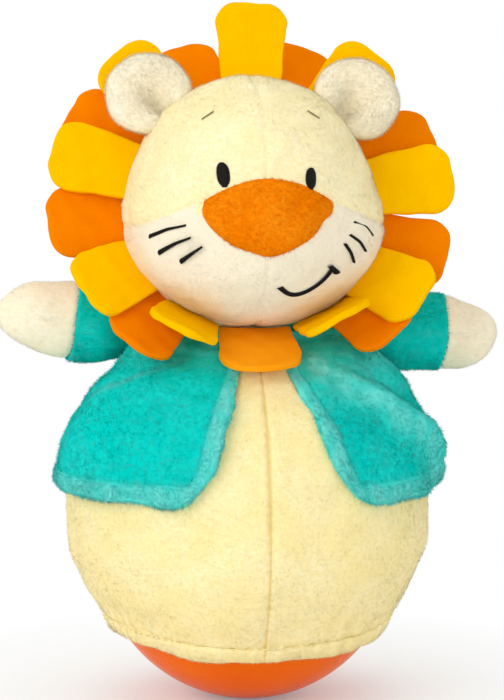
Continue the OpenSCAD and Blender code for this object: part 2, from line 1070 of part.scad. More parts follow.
module head_wadding() {
    color(white)
        difference() {
            head_solid(plush_t + sewn_gap);
            head_solid(plush_t + wadding_t);
            neck_seat();
        }
}

module nose() {
    color(orange)
        intersection() {
            head_skin(nose_puff);
            through_face()
                nose_shape();
        }
}

// A bar with round ends
module stitch(len, w) {
    square([len - w, w], center = true);
    for (end = [-1, 1])
        translate([end * (len - w) / 2, 0])
            circle(w / 2);
}

// Embroidery that lies on the face
module embroidery() {
    intersection() {
        difference() {
            head_solid(-thread_t);
            head_solid(-sewn_gap);
        }
        through_face()
            children();
    }
}

module eyes() {
    color(thread)
        for (side = [-1, 1])
            embroidery()
                translate([side * eye_x, eye_up])
                    rotate(90 - side * eye_lean)
                        stitch(eye_h, eye_w);
}

module brows() {
    color(thread)
        for (side = [-1, 1])
            embroidery()
                translate([side * brow_x, brow_up])
                    stitch(brow_len, brow_w);
}

module whiskers() {
    color(thread)
        for (side = [-1, 1], i = [0 : 2])
            embroidery()
                translate([
                    side * (whisker_x - whisker_shift * i),
                    whisker_step * (1 - i) - whisker_drop
                ])
                    rotate(-side * (whisker_slope + whisker_fan * i))
                        stitch(whisker_len - whisker_less * i, whisker_w);
}

module mouth() {
    far = 2 * mouth_r;
    color(thread)
        embroidery()
            translate([mouth_x, mouth_r - mouth_drop])
                intersection() {
                    difference() {
                        circle(mouth_r + mouth_w / 2);
                        circle(mouth_r - mouth_w / 2);
                    }
                    polygon([
                        [0, 0],
                        [-far * tan(mouth_in), -far],
                        [far * tan(mouth_out), -far]
                    ]);
                }
}

module ear(side) {
    angle = ear_angle - (side > 0 ? sag_angle : 0);
    color(ear_cream)
        difference() {
            at_mane()
                translate([side * ear_reach * cos(angle), ear_reach * sin(angle), ear_fore])
                    rotate_extrude()
                        polygon(ear_line());
            head_solid(-seat_gap);
        }
}

module ear_left() {
    ear(1);
}

module ear_right() {
    ear(-1);
}

// Petals are counted from the top towards the lion's left: odd ones are yellow, in the front
// row, and even ones orange, in the back row
module mane_petal(i) {
    front = i % 2 == 1;
    even_angle = 90 - 360 * (i - 1) / petals;
    angle = even_angle - sag_angle * hump(even_angle - sag_middle_angle, sag_spread_angle);
    tilt = front
        ? petal_tilt(angle, yellow_tilt_angle, 0)
        : petal_tilt(angle, orange_tilt_angle, back_tilt_angle);
    r = mane_r(angle) + felt_t / 2 * abs(sin(tilt));
    color(front ? yellow : orange)
        at_mane()
            rotate([0, 0, angle - 90])
                translate([0, r, (front ? 1 : -1) * row_step / 2])
                    rotate([tilt, 0, 0])
                        translate([0, -r, -felt_t / 2])
                            linear_extrude(height = felt_t)
                                polygon(petal_outline(r));
}

base_bowl();
base_dome();
ballast();
ballast_screws();
chime_rod_1();
chime_rod_2();
chime_rod_3();
chime_rod_4();
staple();
clapper_ring();
clapper_wire();
clapper_ball();
body_front_left();
body_front_right();
body_back_left();
body_back_right();
body_wadding();
hem_casing();
hem_elastic();
neck_plug();
jacket_front_left();
jacket_front_right();
jacket_back();
sleeve_left();
sleeve_right();
hand_left();
hand_right();
arm_wadding_left();
arm_wadding_right();
head_crown();
head_muzzle();
head_back();
head_wadding();
nose();
eyes();
brows();
whiskers();
mouth();
ear_left();
ear_right();
for (i = [1 : petals]) {
    mane_petal(i);
}
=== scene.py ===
"""The roly poly toy's looks: plush, fleece, felt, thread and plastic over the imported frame."""

import json
import math

import bmesh
import bpy
import numpy as np
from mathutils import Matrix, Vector


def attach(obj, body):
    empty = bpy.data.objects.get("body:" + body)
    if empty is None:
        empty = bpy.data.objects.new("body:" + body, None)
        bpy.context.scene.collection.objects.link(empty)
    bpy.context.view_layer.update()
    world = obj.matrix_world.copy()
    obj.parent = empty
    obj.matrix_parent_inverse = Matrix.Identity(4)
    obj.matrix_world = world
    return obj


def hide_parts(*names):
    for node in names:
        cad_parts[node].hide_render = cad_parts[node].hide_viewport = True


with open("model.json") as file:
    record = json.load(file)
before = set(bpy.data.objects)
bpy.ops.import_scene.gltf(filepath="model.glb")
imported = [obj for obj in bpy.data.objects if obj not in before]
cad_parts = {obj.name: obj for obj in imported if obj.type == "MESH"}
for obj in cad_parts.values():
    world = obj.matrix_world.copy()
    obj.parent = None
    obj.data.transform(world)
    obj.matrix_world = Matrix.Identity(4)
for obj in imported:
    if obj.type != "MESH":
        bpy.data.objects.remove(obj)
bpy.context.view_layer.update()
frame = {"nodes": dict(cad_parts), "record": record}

# Sizes are in millimetres and angles in degrees. The lion looks along -Y and its left is +X.
MM = 0.001
SEED = 11
TINY = 1e-6

# Camera, fitted to the photograph
IMAGE_H = 700
VIEW_AZIMUTH, VIEW_ELEVATION = -7.0, 7.5
VIEW_DISTANCE, VIEW_TARGET_Z, VIEW_HEIGHT = 1000.0, 105.0, 210.0
VIEW_SHIFT_PX, SENSOR_H = 4.0, 24.0

# Body and hem
BALL_R, FOOT_R = 45.0, 7.0
BALL_Z = math.sqrt(BALL_R**2 - FOOT_R**2)
BELLY_R, BELLY_Z = 54.6, 54.0
HEM_Z, HEM_H, HEM_T = 22.5, 4.5, 1.7
EDGE_Z = HEM_Z - HEM_H
BODY_TOP_Z, BODY_TOP_DIP, NECK_R = 108.0, 0.5, 17.0
SEAT_GAP, PLUSH_T = 0.3, 1.7
ROUND_POWER, TAPER_POWER = 2.5, 0.7
HEM_RISE, HEM_FADE, HEM_PLUMP = 3.2, 8.0, 0.8
ELASTIC_R = 0.5

# Jacket
JACKET_HEM_Z, SOLID_H = 66.0, 40.5
# Radius and height of the last points of the line that the cloth lies on
COLLAR = [(16.4, 109.6), (15.4, 111.7)]
RIM_W, RIM_RISE, OPEN_MORE, OPEN_LEAST = 5.2, 0.7, 4.5, 0.25
OPEN_TOP, OPEN_HEM, SIDE_ANGLE, CORNER_R = 11.0, 18.0, 98.0, 13.0
FLEECE_T = 2.6
RIM = FLEECE_T / 2
FOLD_LEFT, SWELL_RIGHT, HEM_FLARE, SHOULDER_SWELL = 5.5, 8.0, 2.0, 5.0
RIDGE_LEFT, CREASE_RIGHT, YOKE = 2.4, 1.2, 9.0
FOLD_ANGLE, FOLD_SPREAD, FOLD_SHARE, FOLD_SHARE_SPREAD = 66.0, 34.0, 0.46, 0.56
VALLEY_ANGLE, VALLEY_SPREAD, VALLEY_SHARE = 84.0, 12.0, 0.4

# Arms
SHOULDER = np.array([33.0451, 4.64418, 111.137])
ARM_ROOT_R, ARM_R, ARM_LEN, ARM_SWELL, ARM_LOWEST = 8.5, 11.6, 43.0, 12.0, -12.0
RISE = {"right": 9.0, "left": -5.0}
SLEEVE_LEN = {"right": 18.0, "left": 25.0}
SIDE = {"left": 1, "right": -1}

# Head and face
HEAD = np.array([0.0, -6.0, 150.0])
HEAD_R, HEAD_FRONT, HEAD_BACK, STUFFING = 38.8, 43.0, 34.0, 0.9
NOSE_W, NOSE_TOP, NOSE_CORNER, NOSE_TIP, NOSE_BOW, NOSE_PUFF = 40.0, 10.5, 3.0, 12.5, 3.2, 2.4
SEAM_END_X, SEAM_END_DROP = 36.0, 5.0
EYE_X, EYE_UP, EYE_W, EYE_LEN, EYE_LEAN = 13.4, 11.4, 4.0, 6.8, 8.0
BROW_X, BROW_UP, BROW_LEN, BROW_SLOPE = 16.0, 28.0, 4.0, 32.0
PLUG_Z, PLUG_R = 110.502, 10.0

# Ears and mane
MANE_LEAN, MANE_GAP, ROW_STEP, FELT_T = 22.0, 0.5, 4.0, 2.0
EAR_R, EAR_HALF_T, EAR_CUP, EAR_REACH, EAR_ANGLE, EAR_FORE = 13.0, 5.8, 1.75, 42.6, 48.0, 9.0
EAR_DROOP = 2.0
PETALS, PETAL_LEN, PETAL_W, PETAL_ROOT_W, PETAL_CORNER = 18, 21.5, 21.5, 17.0, 7.0
SAG, SAG_MIDDLE, SAG_SPREAD = 4.0, 10.0, 70.0
TILT_YELLOW, TILT_ORANGE, TILT_BACK, CHIN_POWER, TOP_POWER = 62.0, 43.0, 45.0, 3, 6
CHIN, CHIN_ROOT, TOP_MORE = 9, 1.22, 1.7
# How single petals lie in the photograph: turned and tilted, times as wide, corner radius
PETAL_LAY = {0: (-2.6, 0.0, 1.0, 6.0), 8: (9.0, 14.0, 1.0, 9.0), 9: (0.0, 6.5, 1.12, 10.0),
             10: (-9.0, 4.0, 1.0, 9.0)}
PETAL_TURN = {3: -6.0, 5: -5.0, 6: -3.0, 7: 3.0, 13: -4.0, 14: -5.0}

# Colours as the photograph shows them, 0 to 255: plain, deep and, for plush, pale
CREAM = (253, 240, 188), (251, 233, 172), (255, 247, 208)
BELLY = (253, 237, 174), (251, 231, 160), (255, 243, 194)
MUZZLE = (246, 235, 209), (244, 232, 206), (252, 246, 230)
EAR = (254, 244, 214), (251, 237, 200), (255, 248, 226)
TURQUOISE = (2, 208, 197), (0, 196, 186), (30, 214, 203)
NOSE = (243, 132, 4), (238, 114, 2), (250, 150, 20)
YELLOW = (255, 199, 0), (252, 188, 0)
ORANGE = (247, 140, 0), (243, 128, 0)
# The chin petal's orange is the orange felt painted lighter, as painted light where that petal faces up
# into the lamps
LIT_CHIN_ORANGE = (255, 170, 34), (252, 156, 16)
PLASTIC = (248, 112, 0), (242, 102, 0)
# The seam's dark line; then the paler turquoise that is painted sheen on the fleece's rims and folds
SEAM_LINE, PAINTED_SHEEN_TURQUOISE = (222, 190, 108), (112, 222, 212)
# Thread: plain and worn
BLACK = (12, 10, 9), (30, 26, 24)
BROWN = (104, 90, 52), (140, 122, 76)
# Guessed, as they lie inside: plain and deep
IRON = (70, 70, 74), (44, 44, 48)
STEEL = (176, 178, 184), (146, 148, 154)
BRASS = (206, 164, 84), (178, 134, 60)
FILL = (244, 244, 240), (226, 226, 220)
ELASTIC = (240, 236, 226), (214, 208, 196)


# Small tools

def cosd(a):
    return np.cos(np.radians(a))


def sind(a):
    return np.sin(np.radians(a))


def limit(x):
    """x kept between 0 and 1."""
    return np.clip(x, 0, 1)


def hump(x, spread):
    """A smooth rise from 0 at plus and minus spread to 1 in the middle."""
    return np.where(np.abs(x) < spread, (1 + cosd(180 * np.clip(x / spread, -1, 1))) / 2, 0.0)


def bell(x, width, size=1.0):
    """size in the middle, about a third of it at the width and almost 0 at twice the width."""
    return size * np.exp(-((x / width) ** 2))


def dome(x):
    """A quarter circle: 1 where x is 0, and 0 from 1 on."""
    return np.sqrt(limit(1 - x**2))


def turns(count):
    return np.linspace(0, 360, count, endpoint=False)


def closing(count):
    """Shares from 0 to 1, closer together towards 1."""
    return np.sin(np.linspace(0, math.pi / 2, count))


def unit(v):
    return v / np.linalg.norm(v, axis=-1, keepdims=True)


def round_axis(r, angle, z):
    """Points round the toy's axis, angle 0 at the front and growing to the lion's left."""
    return np.stack([r * sind(angle), -r * cosd(angle), z], axis=-1)


def distances(path):
    """How far along a path each of its points lies."""
    return np.concatenate([[0], np.cumsum(np.linalg.norm(np.diff(path, axis=0), axis=1))])


def along_path(d, at, path):
    """The points at distances d of a flat path whose own points lie at the distances at."""
    return np.stack([np.interp(d, at, path[:, i]) for i in (0, 1)], axis=-1)


def smooth(path, times):
    """Evens out a path between its ends."""
    for _ in range(times):
        path[1:-1] = (path[:-2] + 2 * path[1:-1] + path[2:]) / 4
    return path


WAVE_SPREAD = (0.7, 1.5)


def ripple(points, wave, seed, count=14):
    """Smooth seeded noise of about unit size: a sum of plane waves of nearly one wavelength."""
    draw = np.random.default_rng(SEED + seed)
    way = unit(draw.normal(size=(count, 3)))
    turn = way * (2 * np.pi / (wave * draw.uniform(*WAVE_SPREAD, count)))[:, None]
    return np.sin(points @ turn.T + draw.uniform(0, 2 * np.pi, count)).sum(axis=1) * math.sqrt(2 / count)


def linear(rgb):
    """A 0 to 255 display colour as the shader's linear value, by the sRGB formula."""
    c = np.array(rgb) / 255
    return (*np.where(c <= 0.04045, c / 12.92, ((c + 0.055) / 1.055) ** 2.4), 1.0)


def mesh_piece(name, points, quads, tris=()):
    """A smooth mesh from points in millimetres."""
    mesh = bpy.data.meshes.new(name)
    faces = [*np.asarray(quads).tolist(), *np.asarray(tris).tolist()]
    mesh.from_pydata(np.asarray(points, float) * MM, [], faces)
    mesh.shade_smooth()
    piece = bpy.data.objects.new(name, mesh)
    bpy.context.scene.collection.objects.link(piece)
    return piece


WELD = 1e-3


def face_out(piece):
    """Joins the points that lie on each other and turns every face outwards."""
    form = bmesh.new()
    form.from_mesh(piece.data)
    bmesh.ops.remove_doubles(form, verts=form.verts, dist=WELD * MM)
    bmesh.ops.recalc_face_normals(form, faces=form.faces)
    form.to_mesh(piece.data)
    form.free()
    return piece


def loft(name, rings, start=None, end=None, finish=True):
    """A mesh through closed rings, shape (rings, points, 3), closed by a point at either end if given."""
    rings = np.asarray(rings, float)
    m, n = rings.shape[:2]
    grid = np.arange(m * n).reshape(m, n)
    right = np.roll(grid, -1, axis=1)
    quads = np.stack([grid[:-1], right[:-1], right[1:], grid[1:]], axis=-1).reshape(-1, 4)
    points, tris = [rings.reshape(-1, 3)], []
    tip = m * n
    if start is not None:
        points.append(np.reshape(start, (1, 3)))
        tris.append(np.stack([right[0], grid[0], np.full(n, tip)], axis=-1))
        tip += 1
    if end is not None:
        points.append(np.reshape(end, (1, 3)))
        tris.append(np.stack([grid[-1], right[-1], np.full(n, tip)], axis=-1))
    piece = mesh_piece(name, np.vstack(points), quads, np.vstack(tris) if tris else ())
    return face_out(piece) if finish else piece


def mark(piece, name, values):
    """Stores one number per point, for the material or the pile to read."""
    attribute = piece.data.attributes.new(name, "FLOAT", "POINT")
    attribute.data.foreach_set("value", np.asarray(values, np.float32))


def read(items, key, width):
    values = np.empty(len(items) * width, np.float32)
    items.foreach_get(key, values)
    return values.reshape(-1, width)


def points_of(piece):
    return read(piece.data.vertices, "co", 3).astype(float) / MM


def normals_of(piece):
    return read(piece.data.vertex_normals, "vector", 3).astype(float)


def numbers_of(piece, name):
    return read(piece.data.attributes[name].data, "value", 1)[:, 0]


def roughen(piece, wave, height, seed):
    """Pushes the surface in and out along its normals, as stuffing does."""
    p = points_of(piece)
    p += normals_of(piece) * (height * ripple(p, wave, seed))[:, None]
    piece.data.vertices.foreach_set("co", (p * MM).astype(np.float32).ravel())
    piece.data.update()


# Materials, kept by name

LOOKS = {}


def new_look(name):
    """An empty material; gives back its node tree."""
    material = bpy.data.materials.new(name)
    material.use_nodes = True
    material.node_tree.nodes.clear()
    LOOKS[name] = material
    return material.node_tree


def add_node(tree, kind, inputs=(), **settings):
    """A node with its settings and inputs; an input is a value or another node's output."""
    node = tree.nodes.new("ShaderNode" + kind)
    for key, value in settings.items():
        setattr(node, key, value)
    for key, value in dict(inputs).items():
        if isinstance(value, bpy.types.NodeSocket):
            tree.links.new(value, node.inputs[key])
        else:
            node.inputs[key].default_value = value
    return node


def cover(tree, looks):
    """Ends a material with a surface that looks so."""
    surface = add_node(tree, "BsdfPrincipled", looks)
    add_node(tree, "OutputMaterial", {"Surface": surface.outputs["BSDF"]})


def noise(tree, scale, detail=3.0, rough=0.6):
    """A noise texture in the object's own coordinates; scale is in waves a metre."""
    looks = {"Scale": scale, "Detail": detail, "Roughness": rough}
    looks["Vector"] = add_node(tree, "TexCoord").outputs["Object"]
    return add_node(tree, "TexNoise", looks).outputs["Fac"]


def ramp(tree, value, span, to=(0.0, 1.0)):
    """Stretches a value so that the two ends of span become those of to."""
    ends = zip(("From Min", "From Max", "To Min", "To Max"), (*span, *to))
    return add_node(tree, "MapRange", {"Value": value, **dict(ends)}).outputs["Result"]


def blend_colour(tree, factor, a, b):
    """Mixes two colours; either may be a colour or another node's output."""
    a, b = (c if isinstance(c, bpy.types.NodeSocket) else linear(c) for c in (a, b))
    return add_node(tree, "Mix", {"Factor": factor, "A": a, "B": b}, data_type="RGBA").outputs["Result"]


def bump(tree, height, strength, distance):
    """Fine relief; distance is in metres."""
    looks = {"Height": height, "Strength": strength, "Distance": distance}
    return add_node(tree, "Bump", looks).outputs["Normal"]


# Which part of a noise's range becomes a full blend from one colour to the other
PATCH_SPAN, TUFT_SPAN = (0.38, 0.66), (0.62, 0.3)
FELT_SPAN, FIBRE_SPAN = (0.35, 0.7), (0.66, 0.4)
WORN_SPAN, MOTTLE_SPAN = (0.45, 0.8), (0.3, 0.75)
# How much a hard surface's roughness varies, and the scales of felt and thread in waves a metre
UNEVEN_SHINE = np.array([0.8, 1.3])
FELT_CLOUD, FELT_FIBRE, THREAD_FADE = 160.0, 1700.0, 900.0


def pile_cloth(name, colour, deep, pale, patch=70.0, nap=900.0, sheen=0.15, mask=None, masked=None):
    """Pile fabric: patches where the nap lies another way, fine tufts, a soft sheen.

    mask names a point attribute that shows the colour masked, such as another cloth or painted sheen on a
    rim."""
    tree = new_look(name)
    tufts = noise(tree, nap, detail=4.0, rough=0.7)
    base = blend_colour(tree, ramp(tree, noise(tree, patch), PATCH_SPAN), colour, pale)
    base = blend_colour(tree, ramp(tree, tufts, TUFT_SPAN), base, deep)
    if mask:
        shown = add_node(tree, "Attribute", attribute_name=mask).outputs["Fac"]
        base = blend_colour(tree, shown, base, masked)
    cover(tree, {"Base Color": base, "Roughness": 0.95, "Specular IOR Level": 0.0,
                 "Sheen Weight": sheen, "Sheen Roughness": 0.55, "Sheen Tint": linear(pale),
                 "Normal": bump(tree, tufts, strength=0.3, distance=0.0007)})


def felt(name, colour, deep):
    """Pressed felt: short tangled fibres in two scales."""
    tree = new_look(name)
    fibre = noise(tree, FELT_FIBRE, detail=5.0, rough=0.75)
    base = blend_colour(tree, ramp(tree, noise(tree, FELT_CLOUD), FELT_SPAN), deep, colour)
    base = blend_colour(tree, ramp(tree, fibre, FIBRE_SPAN), base, deep)
    cover(tree, {"Base Color": base, "Roughness": 0.92, "Specular IOR Level": 0.0,
                 "Sheen Weight": 0.08, "Sheen Tint": linear(colour),
                 "Normal": bump(tree, fibre, strength=0.35, distance=0.0005)})


def thread(name, colour, worn):
    """Embroidery thread: slight fading and a fine grain."""
    tree = new_look(name)
    fade = noise(tree, THREAD_FADE)
    base = blend_colour(tree, ramp(tree, fade, WORN_SPAN), colour, worn)
    cover(tree, {"Base Color": base, "Roughness": 0.6, "Specular IOR Level": 0.15,
                 "Normal": bump(tree, fade, strength=0.3, distance=0.0002)})


def hard(name, colour, deep, roughness, metallic=1.0, shine=0.5, scale=220.0, dent=0.00004):
    """Moulded plastic or metal with faint mottling and unevenness."""
    tree = new_look(name)
    cloud = noise(tree, scale, detail=4.0)
    base = blend_colour(tree, ramp(tree, cloud, MOTTLE_SPAN), deep, colour)
    rough = ramp(tree, cloud, (0.0, 1.0), to=roughness * UNEVEN_SHINE)
    cover(tree, {"Base Color": base, "Roughness": rough, "Metallic": metallic, "Specular IOR Level": shine,
                 "Normal": bump(tree, cloud, strength=0.25, distance=dent)})


pile_cloth("cream_plush", *CREAM)
pile_cloth("body_plush", *BELLY, mask="seam", masked=SEAM_LINE)
pile_cloth("face_plush", *CREAM, mask="muzzle", masked=MUZZLE[0])
# The fleece mixes in painted sheen, a paler turquoise, where its rim attribute says
pile_cloth("turquoise_fleece", *TURQUOISE, patch=55.0, nap=700.0, sheen=0.12, mask="rim", masked=PAINTED_SHEEN_TURQUOISE)
pile_cloth("muzzle_plush", *MUZZLE)
pile_cloth("ear_plush", *EAR)
pile_cloth("nose_plush", *NOSE, patch=90.0, sheen=0.1)
# The chin petal's felt is the orange felt with painted light
for cloth, colours in {"lit_chin_felt": LIT_CHIN_ORANGE, "yellow_felt": YELLOW, "orange_felt": ORANGE,
                       "fill": FILL, "elastic": ELASTIC}.items():
    felt(cloth, *colours)
thread("black_thread", *BLACK)
thread("brown_thread", *BROWN)
thread("hem_thread", CREAM[1], CREAM[0])
hard("orange_plastic", *PLASTIC, roughness=0.25, metallic=0.0, shine=0.05, scale=60.0, dent=0.00002)
hard("iron", *IRON, roughness=0.6, metallic=0.9, scale=500.0)
hard("steel", *STEEL, roughness=0.3, scale=700.0)
hard("brass", *BRASS, roughness=0.28, scale=400.0)

# Slots that aren't called after their material
SLOT_LOOKS = {"orange_plush": "nose_plush"}
for entry in frame["record"]["subparts"]:
    node = frame["nodes"][entry["node"]]
    slot = entry["material_slot"]
    node.data.materials.clear()
    node.data.materials.append(LOOKS[SLOT_LOOKS.get(slot, slot)])

# What each piece was dressed in, for the pile that stands on it
worn_by = {}


def dress(piece, body, slot, look, *nodes):
    """Attaches a piece to its body, gives it its material, notes body, slot and material for pile that
    stands on it, and hides the CAD nodes that it stands for.
    """
    worn_by[piece.name] = (body, slot, look)
    piece.data.materials.append(LOOKS[look])
    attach(piece, body)
    if nodes:
        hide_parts(*nodes)
    return piece


# Body and hem

BODY_COLS, BODY_ROWS, HEM_ROWS, ROW_POWER = 320, 150, 14, 1.15
# Degrees between the seams, and the columns of points beside each
SEAM_EVERY, SEAM_CLEAR = 90.0, 2.0
BESIDE_SEAM = np.array([-1.6, -1.1, -0.7, -0.4, -0.2, 0, 0.2, 0.4, 0.7, 1.1, 1.6])
SEAM_W, SEAM_DEPTH = 1.1, 0.7
PUCKER, PUCKER_RATE, PUCKER_DRIFT, PUCKER_DRIFT_RATE = 0.2, 1.9, 1.5, 0.37
# The hem's gathers, and what makes them uneven: how much, how often round the body, from which angle
GATHERS, GATHER, GATHER_FADE = 46, 0.4, 7.0
GATHER_DRIFT = ((2.2, 5, 0), (1.3, 11, 40))
# The swell beside a seam and the groove of the hem's stitches: width and size
SEAM_SWELL, HEM_GROOVE = (6.0, 0.35), (0.8, 0.45)
# The turned edge: heights over it, and depths in hem thicknesses
HEM_TUCK = ((1.6, 1.1), (0.2, 0.9), (-0.15, 0.45))
# The seam's dark line, the fringe of pile at the edge, and the stretch that the jacket covers
LINE_W, LINE_DARK, LINE_BARE = 0.45, 0.7, 0.9
FRINGE, FRINGE_H = 2.5, 1.4
COVERED_UP, COVERED_ASIDE = 3.0, 6.0


def body_r(z):
    """The body's radius at a height, as the solid has it."""
    up = limit((z - BELLY_Z) / (BODY_TOP_Z - BELLY_Z))
    down = limit((BELLY_Z - z) / (BELLY_Z - HEM_Z))
    hem_r = math.sqrt(BALL_R**2 - (BALL_Z - HEM_Z) ** 2) + SEAT_GAP + PLUSH_T
    above = NECK_R + (BELLY_R - NECK_R) * (1 - up**ROUND_POWER) ** TAPER_POWER
    below = hem_r + (BELLY_R - hem_r) * cosd(90 * down)
    return np.where(z > BELLY_Z, above, below)


def off_seam(angle):
    """Degrees from the nearest of the body's seams."""
    return (angle + SEAM_EVERY / 2) % SEAM_EVERY - SEAM_EVERY / 2


def on_ball(z):
    """The hem's outer radius where it lies on the ball."""
    return np.sqrt(BALL_R**2 - (BALL_Z - np.minimum(z, BALL_Z)) ** 2) + SEAT_GAP + HEM_T


def hem_rise(angle, z):
    """How far the hem rides up at the toy's sides, fading out above it."""
    return HEM_RISE * sind(angle) ** 2 * limit((HEM_Z + HEM_FADE - z) / HEM_FADE)


def body_points(angle, z, lift):
    """Points of the plush, lifted off the surface."""
    up = z + hem_rise(angle, z)
    r = np.where(z < HEM_Z, on_ball(up) + HEM_PLUMP, body_r(up)) + lift
    return round_axis(r, angle, up)


angles = turns(BODY_COLS)
angles = angles[np.abs(off_seam(angles)) > SEAM_CLEAR]
seams = np.arange(0, 360, SEAM_EVERY)
angles = np.sort(np.concatenate([angles, (seams[:, None] + BESIDE_SEAM).ravel()]))
columns = len(angles)
heights = np.concatenate([
    np.linspace(EDGE_Z, HEM_Z, HEM_ROWS, endpoint=False),
    HEM_Z + (BODY_TOP_Z - HEM_Z) * closing(BODY_ROWS) ** ROW_POWER,
])
ang, zed = np.meshgrid(angles, heights)
drift = sum(size * sind(ang * often + start) for size, often, start in GATHER_DRIFT)
gather = np.sin(np.radians(ang * GATHERS) + drift)
pucker = np.sin(zed * PUCKER_RATE + PUCKER_DRIFT * np.sin(zed * PUCKER_DRIFT_RATE))
lift = GATHER * np.exp(-np.abs(zed - HEM_Z) / GATHER_FADE) * gather
lift -= bell(off_seam(ang), SEAM_W) * (SEAM_DEPTH + PUCKER * pucker)
lift += bell(off_seam(ang), *SEAM_SWELL)
lift -= bell(zed - HEM_Z, *HEM_GROOVE)
tuck = [body_points(angles, np.full(columns, EDGE_Z + up), -HEM_T * back) for up, back in HEM_TUCK]
body = loft("body_plush", np.concatenate([tuck, body_points(ang, zed, lift)]),
            end=(0, 0, BODY_TOP_Z - BODY_TOP_DIP), finish=False)


def on_body(values, top=0):
    """One number per point of the body: 0 on its tucked edge, the given ones, and one for its top."""
    return np.concatenate([np.zeros(len(tuck) * columns), values.ravel(), [top]])


line = on_body(bell(off_seam(ang), LINE_W))
fringe = on_body(FRINGE * (zed < EDGE_Z + FRINGE_H))
from_front = np.abs((ang + 180) % 360 - 180)
covered = (zed > JACKET_HEM_Z + COVERED_UP) & (from_front > OPEN_HEM + COVERED_ASIDE)
mark(body, "seam", LINE_DARK * line)
mark(body, "pile", (1 + fringe - LINE_BARE * line) * (1 - on_body(covered, top=1)))
face_out(body)
roughen(body, wave=34, height=0.5, seed=1)
roughen(body, wave=11, height=0.14, seed=2)
dress(body, "body", "cream_plush", "body_plush", "body_front_left", "body_front_right",
                "body_back_left", "body_back_right", "hem_casing")

# The elastic inside the hem rides up with it
CORD_COLS, CORD_ROUND = 240, 12
around = turns(CORD_COLS)[:, None]
turn = turns(CORD_ROUND)
up = EDGE_Z + HEM_H / 2 + hem_rise(around, np.array(HEM_Z))
cord = round_axis(on_ball(up) - HEM_T / 2 + ELASTIC_R * cosd(turn), around, up + ELASTIC_R * sind(turn))
dress(loft("hem_cord", np.concatenate([cord, cord[:1]])), "body", "elastic", "elastic", "hem_elastic")


# Threads

THREAD_SIDES, THREAD_END, THREAD_TAPER, THREAD_ROWS = 8, 0.35, 0.4, 9


def threads(name, paths, outs, radius, look, body, slot, *nodes):
    """Threads along paths of points, shape (threads, points, 3), each round and tapered at both ends."""
    count, rows_n = paths.shape[:2]
    across = unit(np.cross(np.gradient(paths, axis=1), outs))
    a = turns(THREAD_SIDES)[:, None]
    taper = np.sin(np.linspace(0, math.pi, rows_n)) ** THREAD_TAPER
    thick = radius * (THREAD_END + (1 - THREAD_END) * taper)
    tube = paths[:, :, None] + thick[:, None, None] * (
        cosd(a) * across[:, :, None] + sind(a) * outs[:, :, None])
    points = np.concatenate([tube.reshape(count, -1, 3), paths[:, [0, -1]]], axis=1).reshape(-1, 3)
    each = rows_n * THREAD_SIDES
    first = np.arange(count)[:, None, None] * (each + 2)
    grid = first + np.arange(each).reshape(rows_n, THREAD_SIDES)
    right = np.roll(grid, -1, axis=2)
    quads = np.stack([grid[:, :-1], right[:, :-1], right[:, 1:], grid[:, 1:]], axis=-1).reshape(-1, 4)
    tip = np.broadcast_to(first[:, 0] + each, grid[:, 0].shape)
    tris = np.concatenate([np.stack([right[:, 0], grid[:, 0], tip], axis=-1).reshape(-1, 3),
                           np.stack([grid[:, -1], right[:, -1], tip + 1], axis=-1).reshape(-1, 3)])
    return dress(mesh_piece(name, points, quads, tris), body, slot, look, *nodes)


# The running stitch that closes the hem: each stitch rises out of the plush and dives back
HEM_STITCHES, STITCH_SHARE, HEM_THREAD_R = 110, 0.34, 0.2
STITCH_UP, STITCH_DIVE, STITCH_GATHER = 0.25, 0.5, 0.3
s = np.linspace(-1, 1, THREAD_ROWS)
ang = turns(HEM_STITCHES)[:, None] + s * STITCH_SHARE * 360 / HEM_STITCHES
lift = STITCH_UP - STITCH_DIVE * s**4 + STITCH_GATHER * sind(ang * GATHERS)
threads("hem_stitches", body_points(ang, HEM_Z + 0 * ang, lift), round_axis(1, ang, 0 * ang),
        HEM_THREAD_R, "hem_thread", "body", "cream_plush")


# Arms

ARM_COLS, HAND_ROWS, SLEEVE_ROWS, CUFF_ROWS, LINING_ROWS = 96, 60, 56, 9, 6
# The hand: how far it reaches into the cuff, its neck there, and the seam under it by width and depth
HAND_IN, WRIST_PINCH, WRIST_SPREAD, HAND_UNDER = 4.0, 0.9, 3.0, 0.2
HAND_NECK, HAND_NECK_LEN = 1.8, 2.0
HAND_SEAM, HAND_SEAM_ANGLE = (4, 0.05), 270
# The sleeve: its faces off the arm's radius, its closed root, its rolled cuff and its creases
SLEEVE_IN, SLEEVE_OUT, SLEEVE_ROOT, SLEEVE_END = -1.5, 0.2, -6.5, -6.9
CUFF_ROLL, CUFF_PLUMP, LINING_FROM, LINING_TO = 1.3, 0.35, 1.0, 7.0
CREASE, CREASE_FADE, CREASES, CREASE_DRIFT, CREASE_DRIFTS = 0.5, 6.0, 9, 1.7, 2


def arm_line(along, side):
    """The arm's radius at a distance from the shoulder, as the solid has it."""
    wrist = SLEEVE_LEN[side]
    root = ARM_ROOT_R + (ARM_R - ARM_ROOT_R) * (1 - cosd(180 * limit(along / ARM_SWELL))) / 2
    hand = ARM_R * dome(np.maximum(along - wrist, 0) / (ARM_LEN - wrist))
    return np.where(along > wrist, hand, root)


def arm_place(points, side):
    """From the arm's own axes, along +Z from the shoulder, to the frame."""
    s = SIDE[side]
    lean = math.radians(s * (90 - RISE[side]))
    x, y, z = points[..., 0], points[..., 1], points[..., 2]
    return np.stack([x * math.cos(lean) + z * math.sin(lean), y,
                     -x * math.sin(lean) + z * math.cos(lean)], axis=-1) + SHOULDER * [s, 1, 1]


def arm_middle(along, side):
    return arm_place(np.array([0.0, 0.0, along]), side)


def arm_rings(along, radius):
    a = turns(ARM_COLS)
    return np.stack([radius[:, None] * cosd(a), radius[:, None] * sind(a),
                     np.repeat(along[:, None], ARM_COLS, axis=1)], axis=-1)


